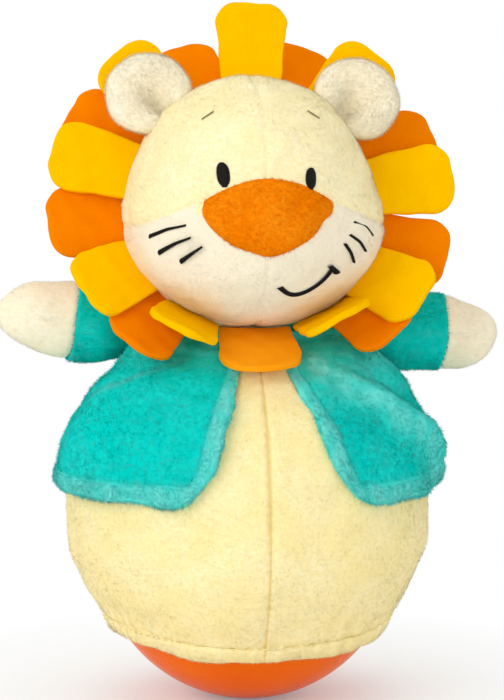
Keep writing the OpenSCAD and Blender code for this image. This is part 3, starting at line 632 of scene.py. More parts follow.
arms = {}
for side, s in SIDE.items():
    wrist = SLEEVE_LEN[side]
    a = turns(ARM_COLS)
    # The hand: from inside the cuff to the round tip
    along = wrist - HAND_IN + (ARM_LEN - wrist + HAND_IN) * closing(HAND_ROWS)[:-1]
    radius = arm_line(np.maximum(along, wrist), side) - HAND_UNDER
    radius -= WRIST_PINCH * hump(along - wrist, WRIST_SPREAD)
    radius -= HAND_NECK * limit((wrist - along) / HAND_NECK_LEN)
    rings = arm_rings(along, radius)
    rings[..., :2] *= 1 - bell(a - HAND_SEAM_ANGLE, *HAND_SEAM)[:, None]
    hand = loft(f"hand_{side}_plush", arm_place(rings, side),
                start=arm_middle(along[0], side), end=arm_middle(ARM_LEN, side))
    roughen(hand, wave=16, height=0.35, seed=20 + s)
    # The sleeve: a tube of fleece, puckered at the shoulder, with a rolled cuff
    out_along = np.linspace(SLEEVE_ROOT, wrist, SLEEVE_ROWS)
    out_r = SLEEVE_OUT + np.where(out_along < 0, ARM_ROOT_R * dome(out_along / ARM_ROOT_R),
                                  arm_line(np.minimum(out_along, wrist), side))
    roll = np.linspace(0, 180, CUFF_ROWS)[1:]
    roll_r = ARM_R + (SLEEVE_OUT + SLEEVE_IN) / 2 + (SLEEVE_OUT - SLEEVE_IN) / 2 * cosd(roll)
    roll_r += CUFF_PLUMP * sind(roll)
    lining = np.linspace(wrist - LINING_FROM, wrist - LINING_TO, LINING_ROWS)
    along = np.concatenate([out_along, wrist + CUFF_ROLL * sind(roll), lining])
    radius = np.concatenate([out_r, roll_r, np.full(LINING_ROWS, ARM_R + SLEEVE_IN)])
    crease = np.sin(np.radians(a * CREASES) + CREASE_DRIFT * sind(a * CREASE_DRIFTS))
    crease = CREASE * np.exp(-np.maximum(along, 0) / CREASE_FADE)[:, None] * crease
    tube = arm_rings(along, radius)
    tube[..., :2] *= (1 + crease / ARM_R)[..., None]
    sleeve = loft(f"sleeve_{side}_fleece", arm_place(tube, side), start=arm_middle(SLEEVE_END, side))
    roughen(sleeve, wave=18, height=0.3, seed=24 + s)
    arms[side] = (hand, sleeve)
    dress(hand, f"arm_{side}", "cream_plush", "ear_plush", f"hand_{side}")
    dress(sleeve, f"arm_{side}", "turquoise_fleece", "turquoise_fleece", f"sleeve_{side}")


# Jacket: one cloth from the left front edge round the back to the right front edge

JACKET_COLS, JACKET_ROWS, JACKET_GIRTH, RIM_ROWS, RIM_REACH = 300, 70, 300.0, 13, 1.3
LINE_POINTS, LINE_SMOOTH, LINE_SHORT = 400, 60, 0.3
# The left fold and the right crease: angle at the hem, angle at the collar, bend of the line
LEFT_FOLD, RIGHT_CREASE, CREASE_W = (80.0, 30.0, 1.3), (100.0, 38.0, 2), 4.0
# The left fold's ridge with the hollows beside it: height, degrees off the line, width
RIDGE = ((1.0, 0.0, 4.5), (-1.0, 9.0, 5.0), (-0.6, -16.0, 9.0))
RIDGE_SHARE, SHOULDER_SHARE, SHOULDER_SPREAD, FLARE_SPREAD, FLARE_LEFT = 0.5, 0.82, 0.26, 0.3, 0.3
# Painted sheen, where the nap would catch the light: inwards of the fold and of the crease, by width and
# strength, and at the right side
NAP_FOLD, NAP_FOLD_IN, NAP_CREASE, NAP_CREASE_IN = (8.0, 0.75), 5.0, (3.0, 0.45), 3.0
NAP_CREASE_SHARE, NAP_CREASE_H = 0.75, 0.3
NAP_SIDE, NAP_SIDE_ANGLE, NAP_SIDE_W, NAP_SIDE_SHARE, NAP_SIDE_H = 0.4, 82.0, 9.0, 0.42, 0.2
# Painted sheen towards the collar: how strong, from which share on, how steeply
NAP_LEFT, NAP_LEFT_FROM, NAP_LEFT_RISE = 0.4, 0.55, 3.0
NAP_RIGHT, NAP_RIGHT_FROM, NAP_RIGHT_RISE = 0.35, 0.85, 6.0
# Where the middle petal presses the cloth flat, the side seam, the yoke, the hem's dip, the collar's rise
PRESS, PRESS_SPREAD, PRESS_FROM, PRESS_FADE = 2.3, 60.0, 0.55, 0.2
SIDE_SEAM = (1.6, 0.5)
YOKE_Z, YOKE_H, YOKE_ANGLE, YOKE_SPREAD = 107.0, 4.5, 85.0, 55.0
DIP, DIP_SHARE, DIP_ANGLE, DIP_SPREAD = 1.6, 0.25, 45.0, 40.0
COLLAR_RISE, COLLAR_FROM, COLLAR_FADE, COLLAR_SPREAD = 2.5, 0.85, 0.15, 110.0
# The rim's edge and groove, the painted sheen on the rim and on the nap, and its streaks
RIM_SOFT, RIM_GROOVE, RIM_GROOVE_OUT = 0.4, (0.6, 0.5), 0.7
RIM_SHEEN_PAINT, RIM_STREAK, NAP_SHEEN_PAINT, NAP_STREAK = 0.5, 0.45, 0.45, 0.55
STREAK_WAVE, STREAK_LONG, STREAK_SEED = 5, [1, 1, 0.5], 7
# Room for the hanging arms over the outer and the inner face, and the least distance from the body
ROOM_OUTER, ROOM_INNER, LEAST_OFF, TOP_FREE = 0.9, 2.2, 1.2, 1.0


def slanting(share, at_hem, at_collar, bend):
    """The angle of a line that runs from the hem, share 0, to the collar, share 1."""
    return at_hem - (at_hem - at_collar) * limit(share) ** bend


def fold_at(angle, share):
    """How far the cloth stands off the body, as the solid has it, angle 0 at the front."""
    away = np.abs(angle)
    rise = hump(share - FOLD_SHARE, FOLD_SHARE_SPREAD)
    window = np.sqrt(hump(share - RIDGE_SHARE, FOLD_SHARE_SPREAD))
    broad = hump(away - FOLD_ANGLE, FOLD_SPREAD)
    shoulder = SHOULDER_SWELL * hump(share - SHOULDER_SHARE, SHOULDER_SPREAD) * broad
    flare = HEM_FLARE * hump(share, FLARE_SPREAD) * broad
    valley = VALLEY_SHARE * hump(away - VALLEY_ANGLE, VALLEY_SPREAD)
    off = away - slanting(share, *LEFT_FOLD)
    ridge = sum(height * bell(off - at, width) for height, at, width in RIDGE)
    left = FOLD_LEFT * rise * (broad - valley) + FLARE_LEFT * flare + RIDGE_LEFT * window * ridge
    crease = CREASE_RIGHT * window * bell(away - slanting(share, *RIGHT_CREASE), CREASE_W)
    right = SWELL_RIGHT * rise * broad + flare - crease
    return shoulder + np.maximum(np.where(angle > 0, left, right), 0)


def painted_sheen_at(angle, share):
    """Painted sheen, as where the nap catches the light: along the left fold and beside the right crease.
    """
    away = np.abs(angle)
    left = bell(away - slanting(share, *LEFT_FOLD) + NAP_FOLD_IN, *NAP_FOLD)
    left += NAP_LEFT * limit((share - NAP_LEFT_FROM) * NAP_LEFT_RISE)
    right = bell(away - slanting(share, *RIGHT_CREASE) + NAP_CREASE_IN, *NAP_CREASE)
    right *= hump(share - NAP_CREASE_SHARE, NAP_CREASE_H)
    right += NAP_SIDE * hump(away - NAP_SIDE_ANGLE, NAP_SIDE_W) * hump(share - NAP_SIDE_SHARE, NAP_SIDE_H)
    right += NAP_RIGHT * limit((share - NAP_RIGHT_FROM) * NAP_RIGHT_RISE)
    return np.where(angle > 0, left, right)


def open_at(share):
    """The angle of the front edge: it widens to the hem, with a round corner."""
    low = np.clip(CORNER_R - share * SOLID_H, 0, CORNER_R)
    corner = CORNER_R - np.sqrt(CORNER_R**2 - low**2)
    straight_edge = OPEN_TOP + (OPEN_HEM - OPEN_TOP) * (1 - share)
    return straight_edge + np.degrees(corner / body_r(np.array(JACKET_HEM_Z)))


def packed(count, length):
    """Shares from 0 to 1, closer together within a rim of both ends."""
    edge = (1 - np.cos(np.linspace(0, math.pi / 2, RIM_ROWS))) * RIM_REACH * RIM_W / length
    return np.concatenate([edge[:-1], np.linspace(edge[-1], 1 - edge[-1], count), 1 - edge[-2::-1]])


# The line that the cloth lies on, from the hem up the body to the collar, with its slopes
line_z = JACKET_HEM_Z + (BODY_TOP_Z - LINE_SHORT - JACKET_HEM_Z) * closing(LINE_POINTS)
profile = np.concatenate([np.stack([body_r(line_z), line_z], axis=-1), COLLAR])
run = distances(profile)
JACKET_H = run[-1]
even = np.linspace(0, JACKET_H, LINE_POINTS)
profile = smooth(along_path(even, run, profile), LINE_SMOOTH)
slope = unit(np.gradient(profile, axis=0))


def jacket_share(level):
    """The share of the solid's height at a share of the cloth's length."""
    return limit((np.interp(level * JACKET_H, even, profile[:, 1]) - JACKET_HEM_Z) / SOLID_H)


def jacket_angle(across, share):
    right = open_at(share)
    left = right + OPEN_MORE * (OPEN_LEAST + (1 - OPEN_LEAST) * np.sqrt(1 - share))
    angle = left + (360 - left - right) * across
    return np.where(angle > 180, angle - 360, angle)


across, level = np.meshgrid(packed(JACKET_COLS, JACKET_GIRTH), packed(JACKET_ROWS, JACKET_H), indexing="ij")
share = jacket_share(level)
angle = jacket_angle(across, share)
pressed = hump(angle, PRESS_SPREAD) * limit((share - PRESS_FROM) / PRESS_FADE)


def jacket_surface(half):
    """Points of the cloth, half a thickness out of its middle."""
    r, z, dr, dz = (np.interp(level * JACKET_H, even, line) for line in (*profile.T, *slope.T))
    out = SEAT_GAP + RIM + half - bell(np.abs(angle) - SIDE_ANGLE, *SIDE_SEAM) - PRESS * pressed
    yoke = YOKE * bell(z - YOKE_Z, YOKE_H) * hump(np.abs(angle) - YOKE_ANGLE, YOKE_SPREAD)
    collar = COLLAR_RISE * limit((level - COLLAR_FROM) / COLLAR_FADE)
    r = r + out * dz + fold_at(angle, share) + yoke
    z = z - out * dr - DIP * hump(share, DIP_SHARE) * hump(angle - DIP_ANGLE, DIP_SPREAD)
    return round_axis(r, angle, z + collar * hump(180 - np.abs(angle), COLLAR_SPREAD))


def make_room(points, margin):
    """Moves the cloth out of the room that each arm takes when it hangs lowest."""
    for side, s in SIDE.items():
        lean = s * (90 - ARM_LOWEST)
        axis = np.array([sind(lean), 0, cosd(lean)])
        up = s * np.array([-axis[2], 0, axis[0]])
        rel = points - SHOULDER * [s, 1, 1]
        along = rel @ axis
        off = rel - along[..., None] * axis
        root = ARM_ROOT_R * dome(along / ARM_ROOT_R)
        room = np.where(along < 0, root, arm_line(np.clip(along, 0, ARM_LEN), side)) + margin
        inside = (np.linalg.norm(off, axis=-1) < room) & (along > -ARM_ROOT_R)
        aside = off - up * np.maximum(off @ up, 0)[..., None]
        aside = aside / np.maximum(np.linalg.norm(aside, axis=-1), TINY)[..., None] * room[..., None]
        points = np.where(inside[..., None], points - off + aside, points)
    flat = np.linalg.norm(points[..., :2], axis=-1)
    least = body_r(points[..., 2]) + LEAST_OFF - margin / 2
    sunk = (flat < least) & (points[..., 2] < BODY_TOP_Z - TOP_FREE)
    grow = np.where(sunk, least / np.maximum(flat, TINY), 1.0)
    return points * np.stack([grow, grow, np.ones_like(grow)], axis=-1)


to_front = np.minimum(across, 1 - across) * JACKET_GIRTH
to_rim = np.minimum(to_front, level * JACKET_H)
edge = np.minimum(to_front, np.minimum(level, 1 - level) * JACKET_H)
inward = limit(edge / RIM)
band = 1 / (1 + np.exp((to_rim - RIM_W) / RIM_SOFT))
thick = RIM * dome(1 - inward)
plump = RIM_RISE * (1 - pressed) * band * np.sqrt(inward)
plump -= bell(to_rim - RIM_W - RIM_GROOVE_OUT, *RIM_GROOVE)
outer = make_room(jacket_surface(thick + np.where(edge > 0, plump, 0)), ROOM_OUTER)
inner = make_room(jacket_surface(-thick), ROOM_INNER)
# Painted sheen: paler turquoise along the rim and the folds, streaked at random
streak = ripple(outer.reshape(-1, 3) * STREAK_LONG, STREAK_WAVE, STREAK_SEED).reshape(across.shape)
streak = (1 + streak.clip(-1, 1)) / 2
pale = np.maximum(band * (RIM_SHEEN_PAINT + RIM_STREAK * streak),
                  painted_sheen_at(angle, share) * (NAP_SHEEN_PAINT + NAP_STREAK * streak))
stand = (1 + band) * (1 - pressed)


def both_faces(out, back):
    """The outer face and, the other way round, the inner face without its edges."""
    return np.concatenate([out, back[:, -2:0:-1]], axis=1)


jacket = loft("jacket_fleece", both_faces(outer, inner), finish=False)
# The rim attribute carries the painted sheen
mark(jacket, "rim", both_faces(pale, pale).ravel())
mark(jacket, "pile", both_faces(stand, 0 * stand).ravel())
face_out(jacket)
roughen(jacket, wave=20, height=0.4, seed=5)
roughen(jacket, wave=6, height=0.12, seed=6)
dress(jacket, "body", "turquoise_fleece", "turquoise_fleece",
      "jacket_front_left", "jacket_front_right", "jacket_back")


# Head

HEAD_COLS, HEAD_ROWS = 300, 200
# The narrow, flat crown; the cheeks, the chin and the muzzle by size, place and spread
CROWN_NARROW, CROWN_POWER, CROWN_FLAT, FRONT_FROM = 0.075, 0.8, 1.8, 0.25
CHEEK, CHEEK_X, CHEEK_W, CHEEK_DOWN, CHEEK_H = 3.2, 30, 14, 14, 15
CHIN_FLAT, CHIN_W, CHIN_H = 1.4, 22, 7
MUZZLE_OUT, MUZZLE_W, MUZZLE_DOWN, MUZZLE_H = 0.8, 22, 12, 13
# Seams by width and depth, how the muzzle's slants, and how far it runs under the nose
MUZZLE_SEAM, MUZZLE_SWELL, SEAM_SLANT, UNDER_NOSE = (0.9, 0.7), (4.0, 0.3), 0.9, 4
MIDDLE_SEAM, MANE_SEAM, BACK_SEAM = (0.9, 0.35), (1.2, 0.9), (1.0, 0.5)
FACE_BEHIND, FACE_BACK_Y = 1, 8
# The mane lies on a leaning plane through the head's middle
LEAN = math.radians(MANE_LEAN)
MANE_UP = np.array([0, math.sin(LEAN), math.cos(LEAN)])
MANE_FORE = np.array([0, -math.cos(LEAN), math.sin(LEAN)])


def head_surface(way):
    """The head's surface along unit directions: the solid's oval with cheeks and a flatter chin."""
    reach = np.where(way[..., 1] < 0, HEAD_FRONT, HEAD_BACK)
    r = 1 / np.sqrt((way[..., 0] ** 2 + way[..., 2] ** 2) / HEAD_R**2 + (way[..., 1] / reach) ** 2)
    x, y, z = np.moveaxis(way * r[..., None], -1, 0)
    above = limit(z / HEAD_R)
    x = x * (1 - CROWN_NARROW * np.sin(math.pi * above**CROWN_POWER))
    z = z - CROWN_FLAT * above**2
    front = limit(FRONT_FROM - way[..., 1])
    cheek = bell(np.abs(x) - CHEEK_X, CHEEK_W) * bell(z + CHEEK_DOWN, CHEEK_H)
    x = x + np.sign(x) * CHEEK * cheek * front
    z = z + CHIN_FLAT * bell(z + HEAD_R, CHIN_H) * bell(x, CHIN_W)
    y = y - MUZZLE_OUT * bell(x, MUZZLE_W) * bell(z + MUZZLE_DOWN, MUZZLE_H) * front
    return np.stack([x, y, z], axis=-1)


def on_face(x, z, lift=0.0):
    """The point of the face at x and z from the head's middle, lifted off the surface."""
    x, z = np.broadcast_arrays(np.asarray(x, float), np.asarray(z, float))
    y = -HEAD_FRONT * np.sqrt(limit(1 - (x**2 + z**2) / HEAD_R**2))
    out = unit(np.stack([x, y * HEAD_R / HEAD_FRONT, z], axis=-1))
    return head_surface(unit(np.stack([x, y, z], axis=-1))) + out * np.asarray(lift)[..., None] + HEAD


def seam_drop(x):
    """Height of the seam between crown and muzzle, from the nose's corners to the mane."""
    slope = (NOSE_CORNER + SEAM_END_DROP) / (SEAM_END_X - NOSE_W / 2)
    return NOSE_CORNER - slope * (np.abs(x) - NOSE_W / 2)


polar = np.linspace(0, math.pi, HEAD_ROWS + 2)[1:-1]
polar, azim = np.meshgrid(polar, np.radians(turns(HEAD_COLS)), indexing="ij")
way = np.stack([np.sin(polar) * np.cos(azim), -np.cos(polar), np.sin(polar) * np.sin(azim)], axis=-1)
skin = head_surface(way)
ahead = skin @ MANE_FORE
x, z = skin[..., 0], skin[..., 2]
is_front = (ahead > -FACE_BEHIND) & (skin[..., 1] < FACE_BACK_Y)
beside = np.abs(z - seam_drop(x)) * SEAM_SLANT
off_nose = np.abs(x) > NOSE_W / 2 - UNDER_NOSE
push = (bell(beside, *MUZZLE_SWELL) - bell(beside, *MUZZLE_SEAM)) * is_front * off_nose
push -= bell(x, *MIDDLE_SEAM) * is_front * ((z > NOSE_TOP) | (z < -NOSE_TIP))
push -= bell(ahead, *MANE_SEAM) + bell(x, *BACK_SEAM) * (ahead < 0)
FORE, AFT = np.array([0.0, -1.0, 0.0]), np.array([0.0, 1.0, 0.0])
head = loft("head_plush", skin + unit(skin) * push[..., None] + HEAD,
            start=head_surface(FORE) + HEAD, end=head_surface(AFT) + HEAD)
stuffing = loft("head_stuffing", HEAD + STUFFING * skin,
                start=HEAD + STUFFING * HEAD_FRONT * FORE, end=HEAD + STUFFING * HEAD_BACK * AFT)
dress(stuffing, "head", "fill", "fill", "head_wadding")
low = (z < seam_drop(x)) & is_front & ((np.abs(x) > NOSE_W / 2) | (z < 0))
mark(head, "muzzle", np.concatenate([low.ravel(), [True, False]]))
roughen(head, wave=26, height=0.3, seed=8)
roughen(head, wave=9, height=0.1, seed=9)
dress(head, "head", "cream_plush", "face_plush", "head_crown", "head_muzzle", "head_back")


# Neck: a plush ball between body and head

NECK_COLS, NECK_ROWS = 64, 34
tall = np.linspace(-90, 90, NECK_ROWS)[1:-1, None]
around = turns(NECK_COLS)
neck = loft("neck_plush", np.stack([PLUG_R * cosd(tall) * cosd(around), PLUG_R * cosd(tall) * sind(around),
                                    PLUG_Z + PLUG_R * sind(tall) + 0 * around], axis=-1),
            start=(0, 0, PLUG_Z - PLUG_R), end=(0, 0, PLUG_Z + PLUG_R))
roughen(neck, wave=7, height=0.15, seed=14)
dress(neck, "neck", "cream_plush", "cream_plush", "neck_plug")


# Nose: a puffed patch let into the face

NOSE_COLS, NOSE_ROWS, NOSE_SMOOTH, NOSE_DEPTH = 60, 26, 14, 1.2
PUFF_POWER, PUFF_ROUND, PUFF_TUCK, TUCK_POWER = 3.2, 0.55, 0.5, 8


def arc(half, rise):
    """Points of an arc over a chord from -half to half, rise high in the middle."""
    radius = (half**2 + rise**2) / (2 * rise)
    span = math.degrees(math.asin(half / radius))
    a = np.linspace(-span, span, NOSE_COLS)
    return np.stack([radius * sind(a), radius * cosd(a) - (radius - rise)], axis=-1)


def nose_outline():
    """A flat arc on top and two bowed sides that meet in the tip, with soft corners."""
    half = NOSE_W / 2
    top = arc(half, NOSE_TOP - NOSE_CORNER) + [0, NOSE_CORNER]
    side = np.array([-half, -(NOSE_TIP + NOSE_CORNER)])
    length = np.linalg.norm(side)
    bow = arc(length / 2, NOSE_BOW)
    middle = np.array([half, NOSE_CORNER]) + side / 2
    out = np.array([-side[1], side[0]]) / length
    right = middle + bow[:, :1] * side / length + bow[:, 1:] * out
    left = right[::-1] * [-1, 1]
    line = np.concatenate([top[:-1], right[:-1], left[:-1]])
    for _ in range(NOSE_SMOOTH):
        line = (np.roll(line, 1, axis=0) + 2 * line + np.roll(line, -1, axis=0)) / 4
    return line


line = nose_outline()
middle = line.mean(axis=0)
shares = closing(NOSE_ROWS)[1:]
shape = middle + (line - middle) * shares[:, None, None]
puff = NOSE_PUFF * (1 - shares**PUFF_POWER) ** PUFF_ROUND - PUFF_TUCK * shares**TUCK_POWER
ones = np.ones(len(line))
top_side = on_face(shape[..., 0], shape[..., 1], puff[:, None] * ones)
under = on_face(shape[..., 0], shape[..., 1], np.full(shape.shape[:2], -NOSE_DEPTH))
nose = loft("nose_plush_patch", np.concatenate([top_side, under[::-1]]),
            start=on_face(*middle, NOSE_PUFF), end=on_face(*middle, -NOSE_DEPTH))
roughen(nose, wave=9, height=0.12, seed=12)
dress(nose, "head", "orange_plush", "nose_plush", "nose")


# Embroidery: each line is a row of slanting stitches, each a small tapered thread

THREAD_R, BROW_THREAD_R, STITCH_RISE, STITCH_LOOK = 0.24, 0.13, 0.5, 0.2
PATH_POINTS, PATH_SMOOTH, LINE_PITCH = 40, 12, 0.34
EYE_PITCH, EYE_SLANT, EYE_LEAST, EYE_POWER, EYE_ROUND = 0.3, 0.05, 0.45, 2.6, 0.45
RIGHT_EYE_SHRINK, RIGHT_EYE_DROP = 0.87, 1.3
BROW_PITCH, BROW_SLANT = 0.5, 2.5
# The whiskers and the mouth as they are sewn: x and height from the head's middle
WHISKERS = [
    [(-29.9, -7.2), (-25.8, -4.7), (-21.5, -3.3)], [(-27.0, -11.8), (-23.5, -8.8), (-19.9, -6.75)],
    [(-21.7, -14.0), (-19.3, -11.4), (-17.15, -9.3)],
    [(29.8, -7.6), (27.5, -4.6), (24.1, -3.0)], [(27.2, -12.0), (25.2, -8.9), (22.5, -6.6)],
    [(23.8, -15.0), (22.6, -11.8), (20.9, -9.0)],
]
MOUTH = [(4.0, -21.4), (5.9, -23.2), (8.2, -24.2), (11.4, -23.5), (14.6, -21.4), (16.8, -19.0),
         (18.0, -16.6)]
MOUTH_END = [(17.4, -15.6), (19.6, -18.0)]
# Widths of the lines: at the start, and what is added up to the end
BROW_WIDTH, MOUTH_END_WIDTH = (0.3, 0.0), (1.2, 0.5)
WHISKER_LEFT, WHISKER_RIGHT = (1.5, -0.85), (0.55, 0.35)
MOUTH_LEAST, MOUTH_MORE, MOUTH_TAPER = 0.95, 0.75, 3


def stitches(name, runs, slot, node, radius=THREAD_R):
    """runs holds (start, end) pairs of x, z on the face; every pair becomes one thread."""
    runs = np.array(runs, float)
    s = np.linspace(0, 1, THREAD_ROWS)
    flat = runs[:, :1] + (runs[:, 1:] - runs[:, :1]) * s[:, None]
    bend = np.broadcast_to(STITCH_RISE * np.sin(s * math.pi) ** 0.5, flat.shape[:2])
    paths = on_face(flat[..., 0], flat[..., 1], bend)
    outs = on_face(flat[..., 0], flat[..., 1], bend + 1) - paths
    return threads(name, paths, outs, radius, slot, "head", slot, node)


def satin(path, width, pitch=LINE_PITCH, slant=0.5):
    """Slanting stitches side by side across a path of x, z points; width is a function of the share."""
    path = np.asarray(path, float)
    at = distances(path)
    end = at[-1]
    runs = []
    for d in np.arange(0, end + TINY, pitch):
        before, here, after = along_path([max(d - STITCH_LOOK, 0), d, min(d + STITCH_LOOK, end)], at, path)
        along = unit(after - before)
        across = np.array([-along[1], along[0]])
        half = (across + along * slant) * width(d / end) / 2
        runs.append((here - half, here + half))
    return runs


def straight(cx, cz, length, slope):
    """A straight path of the given length, rising by slope degrees to the right."""
    half = np.array([cosd(slope), sind(slope)]) * length / 2
    return [np.array([cx, cz]) - half, np.array([cx, cz]) + half]


def smooth_path(points):
    """A smooth curve close to a few points."""
    at = np.linspace(0, 1, len(points))
    return smooth(along_path(np.linspace(0, 1, PATH_POINTS), at, np.array(points)), PATH_SMOOTH)


def widening(start, more):
    return lambda d: start + more * d


def eye_width(d):
    return EYE_W * max(EYE_LEAST, (1 - abs(2 * d - 1) ** EYE_POWER) ** EYE_ROUND)


def mouth_width(d):
    return MOUTH_LEAST + MOUTH_MORE * (1 - d) ** MOUTH_TAPER


eye_runs, brow_runs, whisker_runs = [], [], []
for s, size, drop in ((-1, 1.0, 0.0), (1, RIGHT_EYE_SHRINK, RIGHT_EYE_DROP)):
    column = straight(s * EYE_X, EYE_UP - drop, size * EYE_LEN, 90 - s * EYE_LEAN)
    eye_runs += satin(column, lambda d: size * eye_width(d), EYE_PITCH, EYE_SLANT)
    brow = straight(s * BROW_X, BROW_UP, BROW_LEN, -s * BROW_SLOPE)
    brow_runs += satin(brow, widening(*BROW_WIDTH), BROW_PITCH, BROW_SLANT)
for path in WHISKERS:
    whisker_runs += satin(smooth_path(path), widening(*(WHISKER_RIGHT if path[0][0] > 0 else WHISKER_LEFT)))
mouth_runs = satin(smooth_path(MOUTH), mouth_width) + satin(MOUTH_END, widening(*MOUTH_END_WIDTH))
stitches("eyes_thread", eye_runs, "black_thread", "eyes")
stitches("brows_thread", brow_runs, "brown_thread", "brows", BROW_THREAD_R)
stitches("whiskers_thread", whisker_runs, "black_thread", "whiskers")
stitches("mouth_thread", mouth_runs, "black_thread", "mouth")


# Mane and ears, both set out on the leaning plane of the head's seam

ROOT_IN, ROOT_COLS, CORNER_COLS, FLANK_COLS, END_COLS = 4.0, 24, 14, 16, 12
# The petal's rings from its middle to its edge, and how the felt thins there
PETAL_RINGS, PETAL_CORE, PETAL_INNER, PETAL_EDGE = 8, 0.12, 0.86, 0.1
PETAL_HALF, EDGE_THIN, EDGE_ROUND = 10.5, 0.55, 0.8
# How far a petal is bowed, twisted and curled, drawn for each
PETAL_BENDS = ((0.2, 0.9), (-0.03, 0.03), (-0.6, 0.9))
PETAL_SEED, PETAL_ROUGH_SEED, EAR_SEED = 100, 40, 60
EAR_COLS, EAR_ROWS, EAR_POWER, EAR_BACK = 120, 34, 2.1, 0.75
# The ear's dimple by place, length and depth, and width; its hollow by radius and depth
DIMPLE_IN, DIMPLE, DIMPLE_W, HOLLOW = 5.5, (5.0, 4.6), 3.4, (6.5, 2.6)
PINCH, PINCH_POWER, PINCH_FOLD = 0.22, 1.5, 2.2


def mane_place(points):
    """From the mane's plane (x across, y up it, z forward) to the frame."""
    x, y, z = points[..., 0], points[..., 1], points[..., 2]
    return HEAD + x[..., None] * [1, 0, 0] + y[..., None] * MANE_UP + z[..., None] * MANE_FORE


def mane_r(angle):
    """How far the head reaches in the mane's plane."""
    reach = HEAD_BACK if sind(angle) > 0 else HEAD_FRONT
    across = (cosd(angle) ** 2 + (sind(angle) * math.cos(LEAN)) ** 2) / HEAD_R**2
    return MANE_GAP + 1 / math.sqrt(across + (sind(angle) * math.sin(LEAN) / reach) ** 2)


def petal_outline(r, wide, corner, length, root_w):
    """The petal's cut: a root on the head's seam, let in a little, and a broad end with round corners."""
    x = np.linspace(root_w / 2, -root_w / 2, ROOT_COLS)
    root = np.stack([x, np.sqrt(r**2 - x**2) - ROOT_IN], axis=-1)
    a = np.linspace(180, 90, CORNER_COLS)
    inset, top = PETAL_W * wide / 2 - corner, r + length - corner
    left = np.stack([-inset + corner * cosd(a), top + corner * sind(a)], axis=-1)
    right = left[::-1] * [-1, 1]
    rise = np.linspace(0, 1, FLANK_COLS)[1:-1, None]
    up = root[-1] + (left[0] - root[-1]) * rise
    down = right[-1] + (root[0] - right[-1]) * rise
    end = left[-1] + (right[0] - left[-1]) * np.linspace(0, 1, END_COLS)[1:-1, None]
    return np.concatenate([root, up, left, end, right, down])


def make_petal(i):
    name = f"petal_{i + 1:02d}"
    front = i % 2 == 0
    angle = 90.0 - 360.0 / PETALS * i
    angle -= float(SAG * hump(angle - SAG_MIDDLE, SAG_SPREAD))
    tilt = (TILT_YELLOW if front else TILT_ORANGE) * ((1 - sind(angle)) / 2) ** CHIN_POWER
    tilt -= 0 if front else TILT_BACK * ((1 + sind(angle)) / 2) ** TOP_POWER
    as_cut = (PETAL_TURN.get(i, 0.0), 0.0, 1.0, PETAL_CORNER)
    turned, tilted, wide, corner = PETAL_LAY.get(i, as_cut)
    angle, tilt = angle + turned, tilt + tilted
    r = mane_r(angle) + FELT_T / 2 * abs(sind(tilt))
    length = PETAL_LEN + (TOP_MORE if i == 0 else 0)
    line = petal_outline(r, wide, corner, length, PETAL_ROOT_W * (CHIN_ROOT if i == CHIN else 1))
    middle = line.mean(axis=0)
    rim = 1 - PETAL_EDGE * (1 - np.linspace(0, 1, PETAL_RINGS)) ** 2
    shares = np.concatenate([np.linspace(PETAL_CORE, PETAL_INNER, PETAL_RINGS), rim, [1.0]])
    flat = middle + (line - middle) * shares[:, None, None]
    edge = limit((1 - shares) * PETAL_HALF / EDGE_ROUND)
    half = FELT_T / 2 * (EDGE_THIN + (1 - EDGE_THIN) * dome(1 - edge))
    half[-1] = 0
    draw = np.random.default_rng(SEED + PETAL_SEED + i)
    bow, twist, curl = (draw.uniform(*span) for span in PETAL_BENDS)

    def place(points, height):
        x, up = points[..., 0], points[..., 1] - r
        out = up / PETAL_LEN
        bent = curl * limit(out) ** 2 - bow * (x / (PETAL_W / 2)) ** 2 * limit(out)
        rise = height + bent + twist * x * out
        y = up * cosd(tilt) - rise * sind(tilt) + r
        z = up * sind(tilt) + rise * cosd(tilt) + (1 if front else -1) * ROW_STEP / 2
        c, s = cosd(angle - 90), sind(angle - 90)
        return mane_place(np.stack([x * c - y * s, x * s + y * c, z], axis=-1))

    ones = np.ones(len(line))
    upper = place(flat, half[:, None] * ones)
    lower = place(flat[:-1], -half[:-1, None] * ones)[::-1]
    piece = loft(name + "_felt", np.concatenate([upper, lower]),
                 start=place(middle, half[0]), end=place(middle, -half[0]))
    roughen(piece, wave=7, height=0.12, seed=PETAL_ROUGH_SEED + i)
    slot = "yellow_felt" if front else "orange_felt"
    # The chin petal gets the orange felt painted lighter, as painted light
    dress(piece, "head", slot, "lit_chin_felt" if i == CHIN else slot, name)


for i in range(PETALS):
    make_petal(i)


